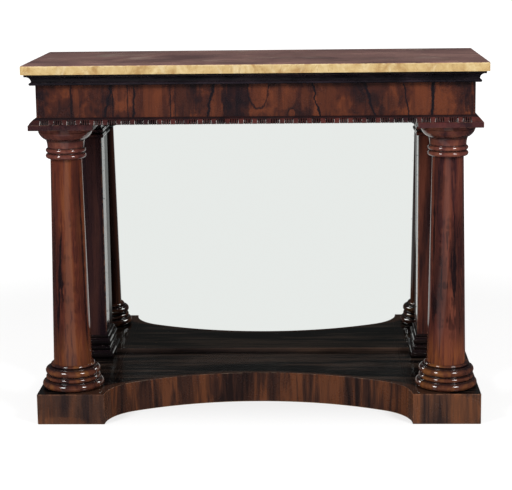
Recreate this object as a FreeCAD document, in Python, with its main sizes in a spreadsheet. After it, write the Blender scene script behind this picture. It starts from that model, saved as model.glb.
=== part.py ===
import FreeCAD, Part
import math
import os
from types import SimpleNamespace

import Sketcher

# Pier table with a marble slab, two turned columns, a mirrored back and a bowed plinth.
# Millimetres. X runs along the table, Y from front to back, Z up.
# The origin is on the floor, midway between the ends and midway between front and back.

# Driving sizes: alias, value, what it measures
SIZES = [
    ("marble_width", 1146, "slab, end to end"),
    ("marble_depth", 445, "slab, front to back"),
    ("marble_thickness", 22, "slab"),
    ("marble_arris", 1.5, "chamfer on the slab's upper edges"),
    ("marble_overhang", 31.5, "slab edge to frieze face, front and ends"),
    ("marble_back_overhang", 5, "slab edge to the back of the frame"),
    ("veneer_thickness", 1.5, "rosewood veneer"),
    ("veneer_lift", 1.5, "veneer edge above the floor"),
    ("frieze_height", 126, "frieze rails"),
    ("rail_thickness", 22, "frieze rails"),
    ("cross_rail_height", 74, "bearer under the middle of the slab"),
    ("soffit_thickness", 12, "board closing the frieze below"),
    ("rail_tenon_length", 12, "tenons of the end rails"),
    ("rail_tenon_thickness", 8, "tenons of the end rails"),
    ("rail_tenon_shoulder", 20, "rail edge to tenon, above and below"),
    ("mortise_slack", 1, "room past the end of a tenon"),
    ("cornice_fillet", 6, "flat at the top of the cornice"),
    ("cornice_hollow", 13, "height of the hollow"),
    ("cornice_quirk", 2, "flat under the hollow"),
    ("cornice_bead", 7, "height of the bead at the bottom"),
    ("cornice_projection", 24, "top flat, from the frieze face"),
    ("cornice_shoulder", 21, "top of the hollow, from the frieze face"),
    ("cornice_root", 9, "bottom of the hollow, from the frieze face"),
    ("cornice_bead_projection", 14, "bead, from the frieze face"),
    ("tablet_height", 17, "cut moulding under the frieze"),
    ("tablet_projection", 16.5, "lower edge, from the frieze face"),
    ("tablet_lip", 3, "flat at the lower edge"),
    ("tablet_top_projection", 2, "upper edge, from the frieze face"),
    ("tablet_face_radius", 60, "swell of the sloping face"),
    ("tablet_pitch", 33.6, "one plain and one reeded tablet"),
    ("reed_pitch", 5.8, "between the cuts of a reeded tablet"),
    ("reed_cut_width", 2.2, "cuts"),
    ("reed_cut_depth", 5, "cuts, at the lower edge"),
    ("column_inset", 86, "column axis behind the plinth's front"),
    ("column_offset", 9.5, "column axis outside the middle of the plinth end"),
    ("abacus_side", 161, "square plate over the capital"),
    ("abacus_height", 14, "square plate over the capital"),
    ("shaft_length", 533, "between base and capital"),
    ("shaft_top_radius", 39.5, "column shaft"),
    ("shaft_bottom_radius", 49, "column shaft"),
    ("column_tenon_radius", 15, "turned tenons of the shaft"),
    ("column_tenon_depth", 40, "tenon into plinth and frieze block"),
    ("glue_gap", 0.2, "tenon to bore, on the radius"),
    ("ring_fillet", 2, "flats between the turned rings"),
    ("capital_lower_ring_height", 13, "ring at the foot of the capital"),
    ("capital_upper_ring_height", 11, "second ring"),
    ("capital_neck_height", 17, "hollow neck"),
    ("capital_echinus_height", 21, "cushion under the crown"),
    ("capital_echinus_radius", 32, "swell of the cushion's face"),
    ("capital_crown_height", 10, "plain band under the abacus"),
    ("capital_lower_ring_radius", 51, "column capital"),
    ("capital_upper_ring_radius", 50.5, "column capital"),
    ("capital_neck_radius", 46, "column capital"),
    ("capital_collar_radius", 48.5, "column capital, flat under the cushion"),
    ("capital_crown_radius", 68, "column capital"),
    ("base_torus_height", 19.5, "lowest ring of the base"),
    ("base_reed_height", 11.5, "second ring of the base"),
    ("base_upper_torus_height", 18.5, "third ring of the base"),
    ("base_astragal_height", 8, "top ring of the base"),
    ("base_torus_radius", 79, "column base"),
    ("base_reed_radius", 70, "column base"),
    ("base_upper_torus_radius", 70.5, "column base"),
    ("base_astragal_radius", 57, "column base"),
    ("pilaster_width", 110, "flat pilaster behind each column"),
    ("pilaster_projection", 59, "pilaster face, from the mirror"),
    ("pilaster_lower_ring", 7, "ring of the pilaster capital, projection"),
    ("pilaster_upper_ring", 6.5, "ring of the pilaster capital, projection"),
    ("pilaster_neck", 0.5, "neck of the pilaster capital, projection"),
    ("pilaster_collar", 3, "flat of the pilaster capital, projection"),
    ("pilaster_crown", 20, "crown of the pilaster capital, projection"),
    ("pilaster_torus", 19, "lowest ring of the pilaster base, projection"),
    ("pilaster_reed", 10, "second ring of the pilaster base, projection"),
    ("pilaster_upper_torus", 11.5, "third ring of the pilaster base, projection"),
    ("pilaster_astragal", 5, "top ring of the pilaster base, projection"),
    ("mirror_thickness", 5, "plate glass"),
    ("mirror_lap", 10, "mirror edge behind the pilaster"),
    ("mirror_clearance", 1, "mirror edge to its rebate, and to the soffit"),
    ("backboard_thickness", 12, "board behind the mirror"),
    ("backboard_recess", 8, "board to the back of the frame"),
    ("sill_projection", 7, "sill, from the mirror"),
    ("sill_height", 9, "sill under the mirror"),
    ("sill_round", 3, "rounded front edge of the sill"),
    ("plinth_set_back", 10, "slab edge to plinth, front and ends"),
    ("plinth_height", 79, "ends of the plinth, and the platform flush with them"),
    ("plinth_end_width", 183, "end of the plinth, outside to inside"),
    ("platform_thickness", 18, "platform board"),
    ("bow_lap", 11, "hollow front of the plinth, carried into its ends"),
    ("bow_depth", 192, "hollow front of the plinth, at the middle"),
    ("bow_end_radius", 125, "tight ends of the hollow front"),
    ("bow_rail_thickness", 30, "curved rail under the platform"),
    ("plinth_rail_thickness", 22, "back rail and bearer of the plinth"),
    ("glue_block_side", 30, "rubbed blocks under the platform"),
    ("glue_block_length", 70, "rubbed blocks under the platform"),
    ("column_block_side", 84, "block in the frieze over each column"),
    ("screw_shank_radius", 2.2, "backboard screws"),
    ("screw_head_radius", 4.4, "backboard screws"),
    ("screw_head_height", 3, "countersunk head"),
    ("screw_length", 34, "backboard screws"),
    ("screw_hole_slack", 0.2, "shank to hole, on the radius"),
    ("screw_end_distance", 60, "first and last screw from the ends of the board"),
]
SCREWS_PER_SIDE = 4
CUTS_PER_TABLET = 4

doc = FreeCAD.newDocument("PierTable")
sheet = doc.addObject("Spreadsheet::Sheet", "Sizes")


# A size keeps the spreadsheet formula it comes from beside its present value
class Size:
    def __init__(self, formula, value):
        self.formula = formula
        self.value = value

    def __add__(self, other):
        other = as_size(other)
        return Size(f"({self.formula} + {other.formula})", self.value + other.value)

    def __sub__(self, other):
        other = as_size(other)
        return Size(f"({self.formula} - {other.formula})", self.value - other.value)

    def __mul__(self, other):
        other = as_size(other)
        return Size(f"({self.formula} * {other.formula})", self.value * other.value)

    def __truediv__(self, other):
        other = as_size(other)
        return Size(f"({self.formula} / {other.formula})", self.value / other.value)

    def __neg__(self):
        return Size(f"(0 - {self.formula})", -self.value)

    def root(self):
        return Size(f"sqrt({self.formula})", math.sqrt(self.value))

    def floor(self):
        return Size(f"floor({self.formula})", math.floor(self.value))


def as_size(number):
    if isinstance(number, Size):
        return number
    return Size(f"{number:g}", number)


for row, (alias, value, note) in enumerate(SIZES, start=1):
    sheet.set(f"A{row}", f"{value}")
    sheet.setAlias(f"A{row}", alias)
    sheet.set(f"B{row}", note)
doc.recompute()
size = SimpleNamespace(**{alias: Size(f"Sizes.{alias}", value) for alias, value, note in SIZES})

nodes = []


# Helpers: each binds what it makes to the spreadsheet

def bind(item, path, amount):
    item.setExpression(path, as_size(amount).formula)


def place(item, x, y, z, turn=0):
    item.Placement = FreeCAD.Placement(FreeCAD.Vector(), FreeCAD.Rotation(FreeCAD.Vector(0, 0, 1), turn))
    for axis, amount in zip("xyz", (x, y, z)):
        bind(item, f"Placement.Base.{axis}", amount)
    return item


def add(kind, name):
    item = doc.addObject(kind, name)
    item.Label = name
    return item


def node(item):
    nodes.append(item)
    return item


def box(name, corner, sides):
    item = add("Part::Box", name)
    for prop, amount in zip(("Length", "Width", "Height"), sides):
        bind(item, prop, amount)
    return place(item, *corner)


def cylinder(name, foot, radius, height):
    item = add("Part::Cylinder", name)
    bind(item, "Radius", radius)
    bind(item, "Height", height)
    return place(item, *foot)


def compound(name, items):
    item = add("Part::Compound", name)
    item.Links = items
    return item


def cut(name, base, tools):
    item = add("Part::Cut", name)
    item.Base = base
    item.Tool = compound(f"{name}_cutters", tools)
    return item


def fuse(name, base, tool):
    item = add("Part::Fuse", name)
    item.Base = base
    item.Tool = tool
    return item


def mirrored(name, source):
    item = add("Part::Mirroring", name)
    item.Source = source
    item.Normal = FreeCAD.Vector(1, 0, 0)
    return item


def both_sides(name, right):
    node(right)
    node(mirrored(f"left_{name}", right))


def body(name):
    return add("PartDesign::Body", name)


def origin_feature(owner, role):
    return next(item for item in owner.Origin.OriginFeatures if item.Role == role)


def point(x, y):
    return SimpleNamespace(x=as_size(x), y=as_size(y), arc=None)


def arc(x, y, clockwise, centre_x=None, centre_y=None, radius=None):
    corner = point(x, y)
    corner.arc = SimpleNamespace(clockwise=clockwise, centre_x=centre_x, centre_y=centre_y, radius=radius)
    return corner


# Centre of an arc from start to end: on their perpendicular bisector, at the named coordinate or radius
def arc_centre(start, end, bend):
    dx = end.x.value - start.x.value
    dy = end.y.value - start.y.value
    mid_x = (start.x.value + end.x.value) / 2
    mid_y = (start.y.value + end.y.value) / 2
    if bend.centre_x is not None:
        step = (mid_x - as_size(bend.centre_x).value) / dy
    elif bend.centre_y is not None:
        step = (as_size(bend.centre_y).value - mid_y) / dx
    else:
        chord = math.hypot(dx, dy)
        side = -1 if bend.clockwise else 1
        step = side * math.sqrt((as_size(bend.radius).value / chord) ** 2 - 0.25)
    return FreeCAD.Vector(mid_x - step * dy, mid_y + step * dx, 0)


def add_edge(sketch, start, end):
    first = FreeCAD.Vector(start.x.value, start.y.value, 0)
    last = FreeCAD.Vector(end.x.value, end.y.value, 0)
    if end.arc is None:
        sketch.addGeometry(Part.LineSegment(first, last))
        return 1, 2
    centre = arc_centre(start, end, end.arc)
    angles = [math.atan2(spot.y - centre.y, spot.x - centre.x) for spot in (first, last)]
    ends = (1, 2)
    if end.arc.clockwise:
        angles.reverse()
        ends = (2, 1)
    circle = Part.Circle(centre, FreeCAD.Vector(0, 0, 1), (first - centre).Length)
    sketch.addGeometry(Part.ArcOfCircle(circle, angles[0], angles[1]))
    return ends


def fix(sketch, kind, edge, spot, amount):
    amount = as_size(amount)
    if amount.formula == "0":
        axis = -2 if kind == "DistanceX" else -1
        sketch.addConstraint(Sketcher.Constraint("PointOnObject", edge, spot, axis))
        return
    index = sketch.addConstraint(Sketcher.Constraint(kind, edge, spot, amount.value))
    bind(sketch, f"Constraints[{index}]", amount)


# Closed outline through the given points. A point made by arc() is reached along that arc.
def outline(owner, plane, points, offset=None):
    sketch = owner.newObject("Sketcher::SketchObject", f"{owner.Name}_sketch")
    sketch.AttachmentSupport = (origin_feature(owner, plane), [""])
    sketch.MapMode = "FlatFace"
    if offset is not None:
        bind(sketch, "AttachmentOffset.Base.z", offset)
    count = len(points)
    ends = [add_edge(sketch, points[index], points[(index + 1) % count]) for index in range(count)]
    for index in range(count):
        following = (index + 1) % count
        join = Sketcher.Constraint("Coincident", index, ends[index][1], following, ends[following][0])
        sketch.addConstraint(join)
        fix(sketch, "DistanceX", index, ends[index][0], points[index].x)
        fix(sketch, "DistanceY", index, ends[index][0], points[index].y)
        bend = points[following].arc
        if bend is None:
            continue
        if bend.centre_x is not None:
            fix(sketch, "DistanceX", index, 3, bend.centre_x)
        elif bend.centre_y is not None:
            fix(sketch, "DistanceY", index, 3, bend.centre_y)
        else:
            edge = sketch.addConstraint(Sketcher.Constraint("Radius", index, as_size(bend.radius).value))
            bind(sketch, f"Constraints[{edge}]", bend.radius)
    return sketch


def circle_outline(owner, x, y, radius):
    sketch = owner.newObject("Sketcher::SketchObject", f"{owner.Name}_bore_sketch")
    sketch.AttachmentSupport = (origin_feature(owner, "XY_Plane"), [""])
    sketch.MapMode = "FlatFace"
    centre = FreeCAD.Vector(x.value, y.value, 0)
    sketch.addGeometry(Part.Circle(centre, FreeCAD.Vector(0, 0, 1), radius.value))
    fix(sketch, "DistanceX", 0, 3, x)
    fix(sketch, "DistanceY", 0, 3, y)
    index = sketch.addConstraint(Sketcher.Constraint("Radius", 0, radius.value))
    bind(sketch, f"Constraints[{index}]", radius)
    return sketch


def pad(owner, sketch, length):
    feature = owner.newObject("PartDesign::Pad", f"{owner.Name}_pad")
    feature.Profile = sketch
    bind(feature, "Length", length)
    return feature


def pocket(owner, sketch, length):
    feature = owner.newObject("PartDesign::Pocket", f"{owner.Name}_pocket")
    feature.Profile = sketch
    feature.Reversed = True
    bind(feature, "Length", length)
    return feature


# Flat piece: a plan outline given its height
def slab(name, points, height, corner):
    item = body(name)
    pad(item, outline(item, "XY_Plane", points), height)
    return place(item, *corner)


def turned(name, points, foot):
    item = body(name)
    feature = item.newObject("PartDesign::Revolution", f"{name}_turning")
    feature.Profile = outline(item, "XZ_Plane", points)
    feature.ReferenceAxis = (feature.Profile[0], ["V_Axis"])
    feature.Angle = 360
    return place(item, *foot)


# Length of moulding against a wall at local y 0, with its profile facing local +y.
# The run is measured at the wall, and a mitre adds the projection to its own end.
def moulding(name, points, run, projection, height, mitre_start, mitre_end):
    item = body(name)
    length = run
    if mitre_start:
        length = length + projection
    if mitre_end:
        length = length + projection
    pad(item, outline(item, "YZ_Plane", points), length)
    if mitre_start:
        waste = [point(0, 0), point(projection, 0), point(0, projection)]
        pocket(item, outline(item, "XY_Plane", waste), height)
    if mitre_end:
        waste = [point(length - projection, 0), point(length, 0), point(length, projection)]
        pocket(item, outline(item, "XY_Plane", waste), height)
    return item


# The same moulding round the front and both sides of a post, mitred at the two front corners
def post_moulding(name, points, projection, height, z):
    front = moulding(f"{name}_front", points, size.pilaster_width, projection, height, True, True)
    place(front, pilaster_outer + projection, pilaster_front, z, 180)
    inner = moulding(f"{name}_inner", points, size.pilaster_projection, projection, height, True, False)
    place(inner, pilaster_inner, pilaster_front - projection, z, 90)
    outer = moulding(f"{name}_outer", points, size.pilaster_projection, projection, height, False, True)
    place(outer, pilaster_outer, mirror_front, z, -90)
    return compound(name, [front, inner, outer])


# Half-round ring of a given outer radius and height, from height z upwards
def ring(radius, height, z):
    root = radius - height / 2
    return [point(root, z), arc(root, z + height, False, centre_x=root)]


# Places worked out from the sizes

half_marble = size.marble_width / 2
front_marble = -(size.marble_depth / 2)
frieze_half = half_marble - size.marble_overhang
frieze_front = front_marble + size.marble_overhang
frame_back = size.marble_depth / 2 - size.marble_back_overhang
frieze_run = frame_back - frieze_front
plinth_half = half_marble - size.plinth_set_back
plinth_front = front_marble + size.plinth_set_back
plinth_depth = frame_back - plinth_front
plinth_inner = plinth_half - size.plinth_end_width
bow_half_span = plinth_inner + size.bow_lap
column_x = plinth_half - size.plinth_end_width / 2 + size.column_offset
column_y = plinth_front + size.column_inset
bore_radius = size.column_tenon_radius + size.glue_gap

base_rings = size.base_torus_height + size.base_reed_height + size.base_upper_torus_height
base_height = base_rings + size.base_astragal_height + size.ring_fillet * 3
capital_rings = size.capital_lower_ring_height + size.capital_upper_ring_height
capital_cushion = size.capital_neck_height + size.capital_echinus_height + size.capital_crown_height
capital_height = capital_rings + capital_cushion + size.ring_fillet * 3
shaft_bottom = size.plinth_height + base_height
shaft_top = shaft_bottom + size.shaft_length
abacus_bottom = shaft_top + capital_height
frieze_bottom = abacus_bottom + size.abacus_height
marble_bottom = frieze_bottom + size.frieze_height

mirror_front = frame_back - size.backboard_recess - size.backboard_thickness - size.mirror_thickness
mirror_back = mirror_front + size.mirror_thickness
pilaster_front = mirror_front - size.pilaster_projection
pilaster_inner = column_x - size.pilaster_width / 2
pilaster_outer = column_x + size.pilaster_width / 2
mirror_bottom = size.plinth_height + size.sill_height


# Marble slab, loose on the frame

def build_marble():
    item = body("marble_top")
    corners = [
        point(0, 0),
        point(size.marble_width, 0),
        point(size.marble_width, size.marble_depth),
        point(0, size.marble_depth),
    ]
    block = pad(item, outline(item, "XY_Plane", corners), size.marble_thickness)
    doc.recompute()
    top = max(range(len(block.Shape.Faces)), key=lambda index: block.Shape.Faces[index].CenterOfMass.z)
    chamfer = item.newObject("PartDesign::Chamfer", "marble_arris_cut")
    chamfer.Base = (block, [f"Face{top + 1}"])
    bind(chamfer, "Size", size.marble_arris)
    node(place(item, -half_marble, front_marble, marble_bottom))


# Frieze: a tenoned frame of rails with a soffit, veneered on the front and ends

def build_frieze():
    rail_front = frieze_front + size.veneer_thickness
    rail_half = frieze_half - size.veneer_thickness
    inside_front = rail_front + size.rail_thickness
    inside_back = frame_back - size.rail_thickness
    inside_half = rail_half - size.rail_thickness
    inside_run = inside_back - inside_front

    tenon_inset = (size.rail_thickness - size.rail_tenon_thickness) / 2
    tenon_height = size.frieze_height - size.rail_tenon_shoulder * 2
    tenon_x = inside_half + tenon_inset
    tenon_z = frieze_bottom + size.rail_tenon_shoulder
    mortise_depth = size.rail_tenon_length + size.mortise_slack

    long_rail = (rail_half * 2, size.rail_thickness, size.frieze_height)
    mortise = (size.rail_tenon_thickness, mortise_depth, tenon_height)
    for side, rail_y, mortise_y in (
        ("front", rail_front, inside_front - mortise_depth),
        ("back", inside_back, inside_back),
    ):
        blank = box(f"frieze_{side}_rail_blank", (-rail_half, rail_y, frieze_bottom), long_rail)
        right = box(f"{side}_right_mortise", (tenon_x, mortise_y, tenon_z), mortise)
        node(cut(f"frieze_{side}_rail", blank, [right, mirrored(f"{side}_left_mortise", right)]))

    blank = box(
        "frieze_right_rail_blank",
        (inside_half, inside_front, frieze_bottom),
        (size.rail_thickness, inside_run, size.frieze_height),
    )
    tenons = box(
        "frieze_right_rail_tenons",
        (tenon_x, inside_front - size.rail_tenon_length, tenon_z),
        (size.rail_tenon_thickness, inside_run + size.rail_tenon_length * 2, tenon_height),
    )
    right_rail = node(fuse("frieze_right_rail", blank, tenons))
    node(mirrored("frieze_left_rail", right_rail))

    node(box(
        "frieze_cross_rail",
        (-(size.rail_thickness / 2), inside_front, marble_bottom - size.cross_rail_height),
        (size.rail_thickness, inside_run, size.cross_rail_height),
    ))

    board = box(
        "frieze_soffit_blank",
        (-inside_half, inside_front, frieze_bottom),
        (inside_half * 2, inside_run, size.soffit_thickness),
    )
    right_bore = cylinder(
        "soffit_right_bore", (column_x, column_y, frieze_bottom), bore_radius, size.soffit_thickness
    )
    node(cut("frieze_soffit", board, [right_bore, mirrored("soffit_left_bore", right_bore)]))

    block_z = frieze_bottom + size.soffit_thickness
    block_height = size.column_tenon_depth + size.rail_thickness
    block = box(
        "right_column_block_blank",
        (inside_half - size.column_block_side, inside_front, block_z),
        (size.column_block_side, size.column_block_side, block_height),
    )
    tenon_room = size.column_tenon_depth + size.mortise_slack
    socket = cylinder("right_column_block_bore", (column_x, column_y, block_z), bore_radius, tenon_room)
    both_sides("column_block", cut("right_column_block", block, [socket]))

    node(box(
        "frieze_front_veneer",
        (-frieze_half, frieze_front, frieze_bottom),
        (frieze_half * 2, size.veneer_thickness, size.frieze_height),
    ))
    right_veneer = node(box(
        "frieze_right_veneer",
        (rail_half, rail_front, frieze_bottom),
        (size.veneer_thickness, frame_back - rail_front, size.frieze_height),
    ))
    node(mirrored("frieze_left_veneer", right_veneer))


# Cornice: flat, hollow, quirk and bead, mitred at the front corners

def build_cornice():
    quirk_z = size.cornice_bead
    hollow_z = quirk_z + size.cornice_quirk
    shoulder_z = hollow_z + size.cornice_hollow
    height = shoulder_z + size.cornice_fillet
    bead_root = size.cornice_bead_projection - size.cornice_bead / 2
    profile = [
        point(0, 0),
        point(bead_root, 0),
        arc(bead_root, quirk_z, False, centre_x=bead_root),
        point(size.cornice_root, quirk_z),
        point(size.cornice_root, hollow_z),
        arc(size.cornice_shoulder, shoulder_z, True, centre_y=hollow_z),
        point(size.cornice_projection, shoulder_z),
        point(size.cornice_projection, height),
        point(0, height),
    ]
    reach = size.cornice_projection
    z = marble_bottom - height
    front = moulding("cornice_front", profile, frieze_half * 2, reach, height, True, True)
    node(place(front, frieze_half + reach, frieze_front, z, 180))
    right = moulding("cornice_right", profile, frieze_run, reach, height, False, True)
    node(place(right, frieze_half, frame_back, z, -90))
    node(mirrored("cornice_left", right))


# Tablet moulding: a swelling slope cut into plain and reeded tablets in turn

def cut_tablets(item, run, start):
    count = (run / size.tablet_pitch).floor()
    spare = run - size.tablet_pitch * count
    reeded_width = size.reed_pitch * (CUTS_PER_TABLET - 1) + size.reed_cut_width
    first = start + spare / 2 + (size.tablet_pitch - reeded_width) / 2
    outer = size.tablet_projection + size.reed_cut_depth
    waste = [
        point(size.tablet_projection - size.reed_cut_depth, 0),
        point(outer, 0),
        point(outer, size.tablet_height),
        point(size.tablet_top_projection, size.tablet_height),
    ]
    cuts = []
    for index in range(CUTS_PER_TABLET):
        sketch = outline(item, "YZ_Plane", waste, first + size.reed_pitch * index)
        cuts.append(pocket(item, sketch, size.reed_cut_width))
    pattern = item.newObject("PartDesign::LinearPattern", f"{item.Name}_row")
    pattern.Originals = cuts
    pattern.Direction = (origin_feature(item, "X_Axis"), [""])
    bind(pattern, "Length", size.tablet_pitch * (count - 1))
    bind(pattern, "Occurrences", count)
    item.Tip = pattern


def build_tablets():
    profile = [
        point(0, 0),
        point(size.tablet_projection, 0),
        point(size.tablet_projection, size.tablet_lip),
        arc(size.tablet_top_projection, size.tablet_height, False, radius=size.tablet_face_radius),
        point(0, size.tablet_height),
    ]
    reach = size.tablet_projection
    run = frieze_half * 2
    front = moulding("tablet_moulding_front", profile, run, reach, size.tablet_height, True, True)
    cut_tablets(front, run, reach)
    node(place(front, frieze_half + reach, frieze_front, frieze_bottom, 180))
    right = moulding("tablet_moulding_right", profile, frieze_run, reach, size.tablet_height, False, True)
    cut_tablets(right, frieze_run, as_size(0))
    node(place(right, frieze_half, frame_back, frieze_bottom, -90))
    node(mirrored("tablet_moulding_left", right))


# Ring stacks shared by the columns and the pilasters. The first value is the inner edge.

def base_profile(inner, torus, reed, upper_torus, astragal):
    reed_z = size.base_torus_height + size.ring_fillet
    upper_z = reed_z + size.base_reed_height + size.ring_fillet
    astragal_z = upper_z + size.base_upper_torus_height + size.ring_fillet
    stack = [
        (torus, size.base_torus_height, as_size(0)),
        (reed, size.base_reed_height, reed_z),
        (upper_torus, size.base_upper_torus_height, upper_z),
        (astragal, size.base_astragal_height, astragal_z),
    ]
    points = [point(inner, 0)]
    for radius, height, z in stack:
        points += ring(radius, height, z)
        if radius is not astragal:
            points.append(point(radius - height / 2, z + height + size.ring_fillet))
    points.append(point(inner, base_height))
    return points


def capital_profile(inner, lower_ring, upper_ring, neck, collar, crown):
    lower_root = lower_ring - size.capital_lower_ring_height / 2
    upper_root = upper_ring - size.capital_upper_ring_height / 2
    lower_top = size.capital_lower_ring_height
    upper_z = lower_top + size.ring_fillet
    upper_top = upper_z + size.capital_upper_ring_height
    neck_z = upper_top + size.ring_fillet
    collar_z = neck_z + size.capital_neck_height
    echinus_z = collar_z + size.ring_fillet
    crown_z = echinus_z + size.capital_echinus_height
    top = crown_z + size.capital_crown_height
    return [
        point(inner, 0),
        *ring(lower_ring, size.capital_lower_ring_height, as_size(0)),
        point(lower_root, upper_z),
        *ring(upper_ring, size.capital_upper_ring_height, upper_z),
        point(upper_root, neck_z),
        point(neck, neck_z),
        arc(collar, collar_z, True, centre_y=neck_z),
        point(collar, echinus_z),
        arc(crown, crown_z, False, radius=size.capital_echinus_radius),
        point(crown, top),
        point(inner, top),
    ]


# Columns: turned shaft whose tenons pass through base, capital and abacus

def build_columns():
    foot = (column_x, column_y)
    base = base_profile(
        bore_radius,
        size.base_torus_radius,
        size.base_reed_radius,
        size.base_upper_torus_radius,
        size.base_astragal_radius,
    )
    both_sides("column_base", turned("right_column_base", base, (*foot, size.plinth_height)))

    lower_tenon = base_height + size.column_tenon_depth
    upper_shoulder = lower_tenon + size.shaft_length
    upper_tenon = capital_height + size.abacus_height + size.soffit_thickness + size.column_tenon_depth
    shaft = [
        point(0, 0),
        point(size.column_tenon_radius, 0),
        point(size.column_tenon_radius, lower_tenon),
        point(size.shaft_bottom_radius, lower_tenon),
        point(size.shaft_top_radius, upper_shoulder),
        point(size.column_tenon_radius, upper_shoulder),
        point(size.column_tenon_radius, upper_shoulder + upper_tenon),
        point(0, upper_shoulder + upper_tenon),
    ]
    shaft_foot = size.plinth_height - size.column_tenon_depth
    both_sides("column_shaft", turned("right_column_shaft", shaft, (*foot, shaft_foot)))

    capital = capital_profile(
        bore_radius,
        size.capital_lower_ring_radius,
        size.capital_upper_ring_radius,
        size.capital_neck_radius,
        size.capital_collar_radius,
        size.capital_crown_radius,
    )
    both_sides("capital", turned("right_capital", capital, (*foot, shaft_top)))

    half_abacus = size.abacus_side / 2
    plate = box(
        "right_abacus_blank",
        (column_x - half_abacus, column_y - half_abacus, abacus_bottom),
        (size.abacus_side, size.abacus_side, size.abacus_height),
    )
    hole = cylinder("right_abacus_bore", (*foot, abacus_bottom), bore_radius, size.abacus_height)
    both_sides("abacus", cut("right_abacus", plate, [hole]))


# Row of backboard screws up one side, heads at the back. Slack widens the shank into its hole.

def screw_row(name, slack):
    item = body(name)
    shank = size.screw_shank_radius + slack
    profile = [
        point(0, 0),
        point(size.screw_head_radius, 0),
        point(shank, size.screw_head_height),
        point(shank, size.screw_length),
        point(0, size.screw_length),
    ]
    feature = item.newObject("PartDesign::Revolution", f"{name}_turning")
    feature.Profile = outline(item, "XY_Plane", profile)
    feature.ReferenceAxis = (feature.Profile[0], ["V_Axis"])
    feature.Angle = 360
    pattern = item.newObject("PartDesign::LinearPattern", f"{name}_row")
    pattern.Originals = [feature]
    pattern.Direction = (origin_feature(item, "Z_Axis"), [""])
    board_height = frieze_bottom - mirror_bottom
    bind(pattern, "Length", board_height - size.screw_end_distance * 2)
    pattern.Occurrences = SCREWS_PER_SIDE
    item.Tip = pattern
    back = mirror_back + size.backboard_thickness
    place(item, column_x, back, mirror_bottom + size.screw_end_distance, 180)
    return item


# Mirrored back: pilasters rebated for the plate, a sill below it and a board screwed on behind

def build_back():
    screws = screw_row("right_backboard_screws", 0)
    holes = screw_row("right_screw_holes", size.screw_hole_slack)

    depth = size.pilaster_projection + size.mirror_thickness
    plan = [
        point(0, 0),
        point(size.pilaster_width, 0),
        point(size.pilaster_width, depth),
        point(size.mirror_lap, depth),
        point(size.mirror_lap, size.pilaster_projection),
        point(0, size.pilaster_projection),
    ]
    pilaster_height = frieze_bottom - size.plinth_height
    foot = (pilaster_inner, pilaster_front, size.plinth_height)
    post = slab("right_pilaster_blank", plan, pilaster_height, foot)
    both_sides("pilaster", cut("right_pilaster", post, [holes]))

    base = base_profile(
        as_size(0),
        size.pilaster_torus,
        size.pilaster_reed,
        size.pilaster_upper_torus,
        size.pilaster_astragal,
    )
    both_sides("pilaster_base", post_moulding(
        "right_pilaster_base", base, size.pilaster_torus, base_height, size.plinth_height
    ))
    capital = capital_profile(
        as_size(0),
        size.pilaster_lower_ring,
        size.pilaster_upper_ring,
        size.pilaster_neck,
        size.pilaster_collar,
        size.pilaster_crown,
    )
    capital_z = frieze_bottom - capital_height
    both_sides("pilaster_capital", post_moulding(
        "right_pilaster_capital", capital, size.pilaster_crown, capital_height, capital_z
    ))

    mirror_half = pilaster_inner + size.mirror_lap - size.mirror_clearance
    mirror_height = frieze_bottom - size.mirror_clearance - mirror_bottom
    node(box(
        "mirror_plate",
        (-mirror_half, mirror_front, mirror_bottom),
        (mirror_half * 2, size.mirror_thickness, mirror_height),
    ))

    board = box(
        "mirror_backboard_blank",
        (-pilaster_outer, mirror_back, mirror_bottom),
        (pilaster_outer * 2, size.backboard_thickness, frieze_bottom - mirror_bottom),
    )
    node(cut("mirror_backboard", board, [holes, mirrored("left_screw_holes", holes)]))
    node(compound("backboard_screws", [screws, mirrored("left_backboard_screws", screws)]))

    sill_depth = frame_back - mirror_front + size.sill_projection
    profile = [
        point(0, 0),
        point(sill_depth, 0),
        point(sill_depth, size.sill_height),
        point(size.sill_round, size.sill_height),
        arc(0, size.sill_height - size.sill_round, False, centre_x=size.sill_round),
    ]
    sill_half = pilaster_inner - size.pilaster_torus
    sill = body("mirror_sill")
    pad(sill, outline(sill, "YZ_Plane", profile), sill_half * 2)
    node(place(sill, -sill_half, mirror_front - size.sill_projection, size.plinth_height))


# Hollow front of the plinth: a three-centred curve, and the same curve stepped back by an offset.
# Places are in the plan of the plinth, y from its front. Tight ends and middle meet at the joint.

def bow_curve(step):
    tight_x = bow_half_span - size.bow_end_radius
    square_sum = bow_half_span * bow_half_span + size.bow_depth * size.bow_depth
    twice_ends = bow_half_span * size.bow_end_radius * 2
    wide_radius = (square_sum - twice_ends) / ((size.bow_depth - size.bow_end_radius) * 2)
    share = wide_radius - size.bow_end_radius
    tight_radius = size.bow_end_radius + step
    reach = size.bow_end_radius - size.bow_lap
    return SimpleNamespace(
        joint_x=tight_x * (wide_radius + step) / share,
        joint_y=(wide_radius - size.bow_depth) * tight_radius / share,
        middle_radius=wide_radius + step,
        end_y=(tight_radius * tight_radius - reach * reach).root(),
        face_x=tight_x + (tight_radius * tight_radius - as_size(step) * step).root(),
    )


def bow_forward(curve):
    return [
        point(0, curve.end_y),
        arc(plinth_inner - curve.joint_x, curve.joint_y, True, centre_y=0),
        arc(plinth_inner + curve.joint_x, curve.joint_y, True, radius=curve.middle_radius),
        arc(plinth_inner * 2, curve.end_y, True, centre_y=0),
    ]


def bow_backward(curve):
    return [
        point(plinth_inner * 2, curve.end_y),
        arc(plinth_inner + curve.joint_x, curve.joint_y, False, centre_y=0),
        arc(plinth_inner - curve.joint_x, curve.joint_y, False, radius=curve.middle_radius),
        arc(0, curve.end_y, False, centre_y=0),
    ]


# Plinth: two veneered ends, a platform between them and a curved rail under its front

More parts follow.
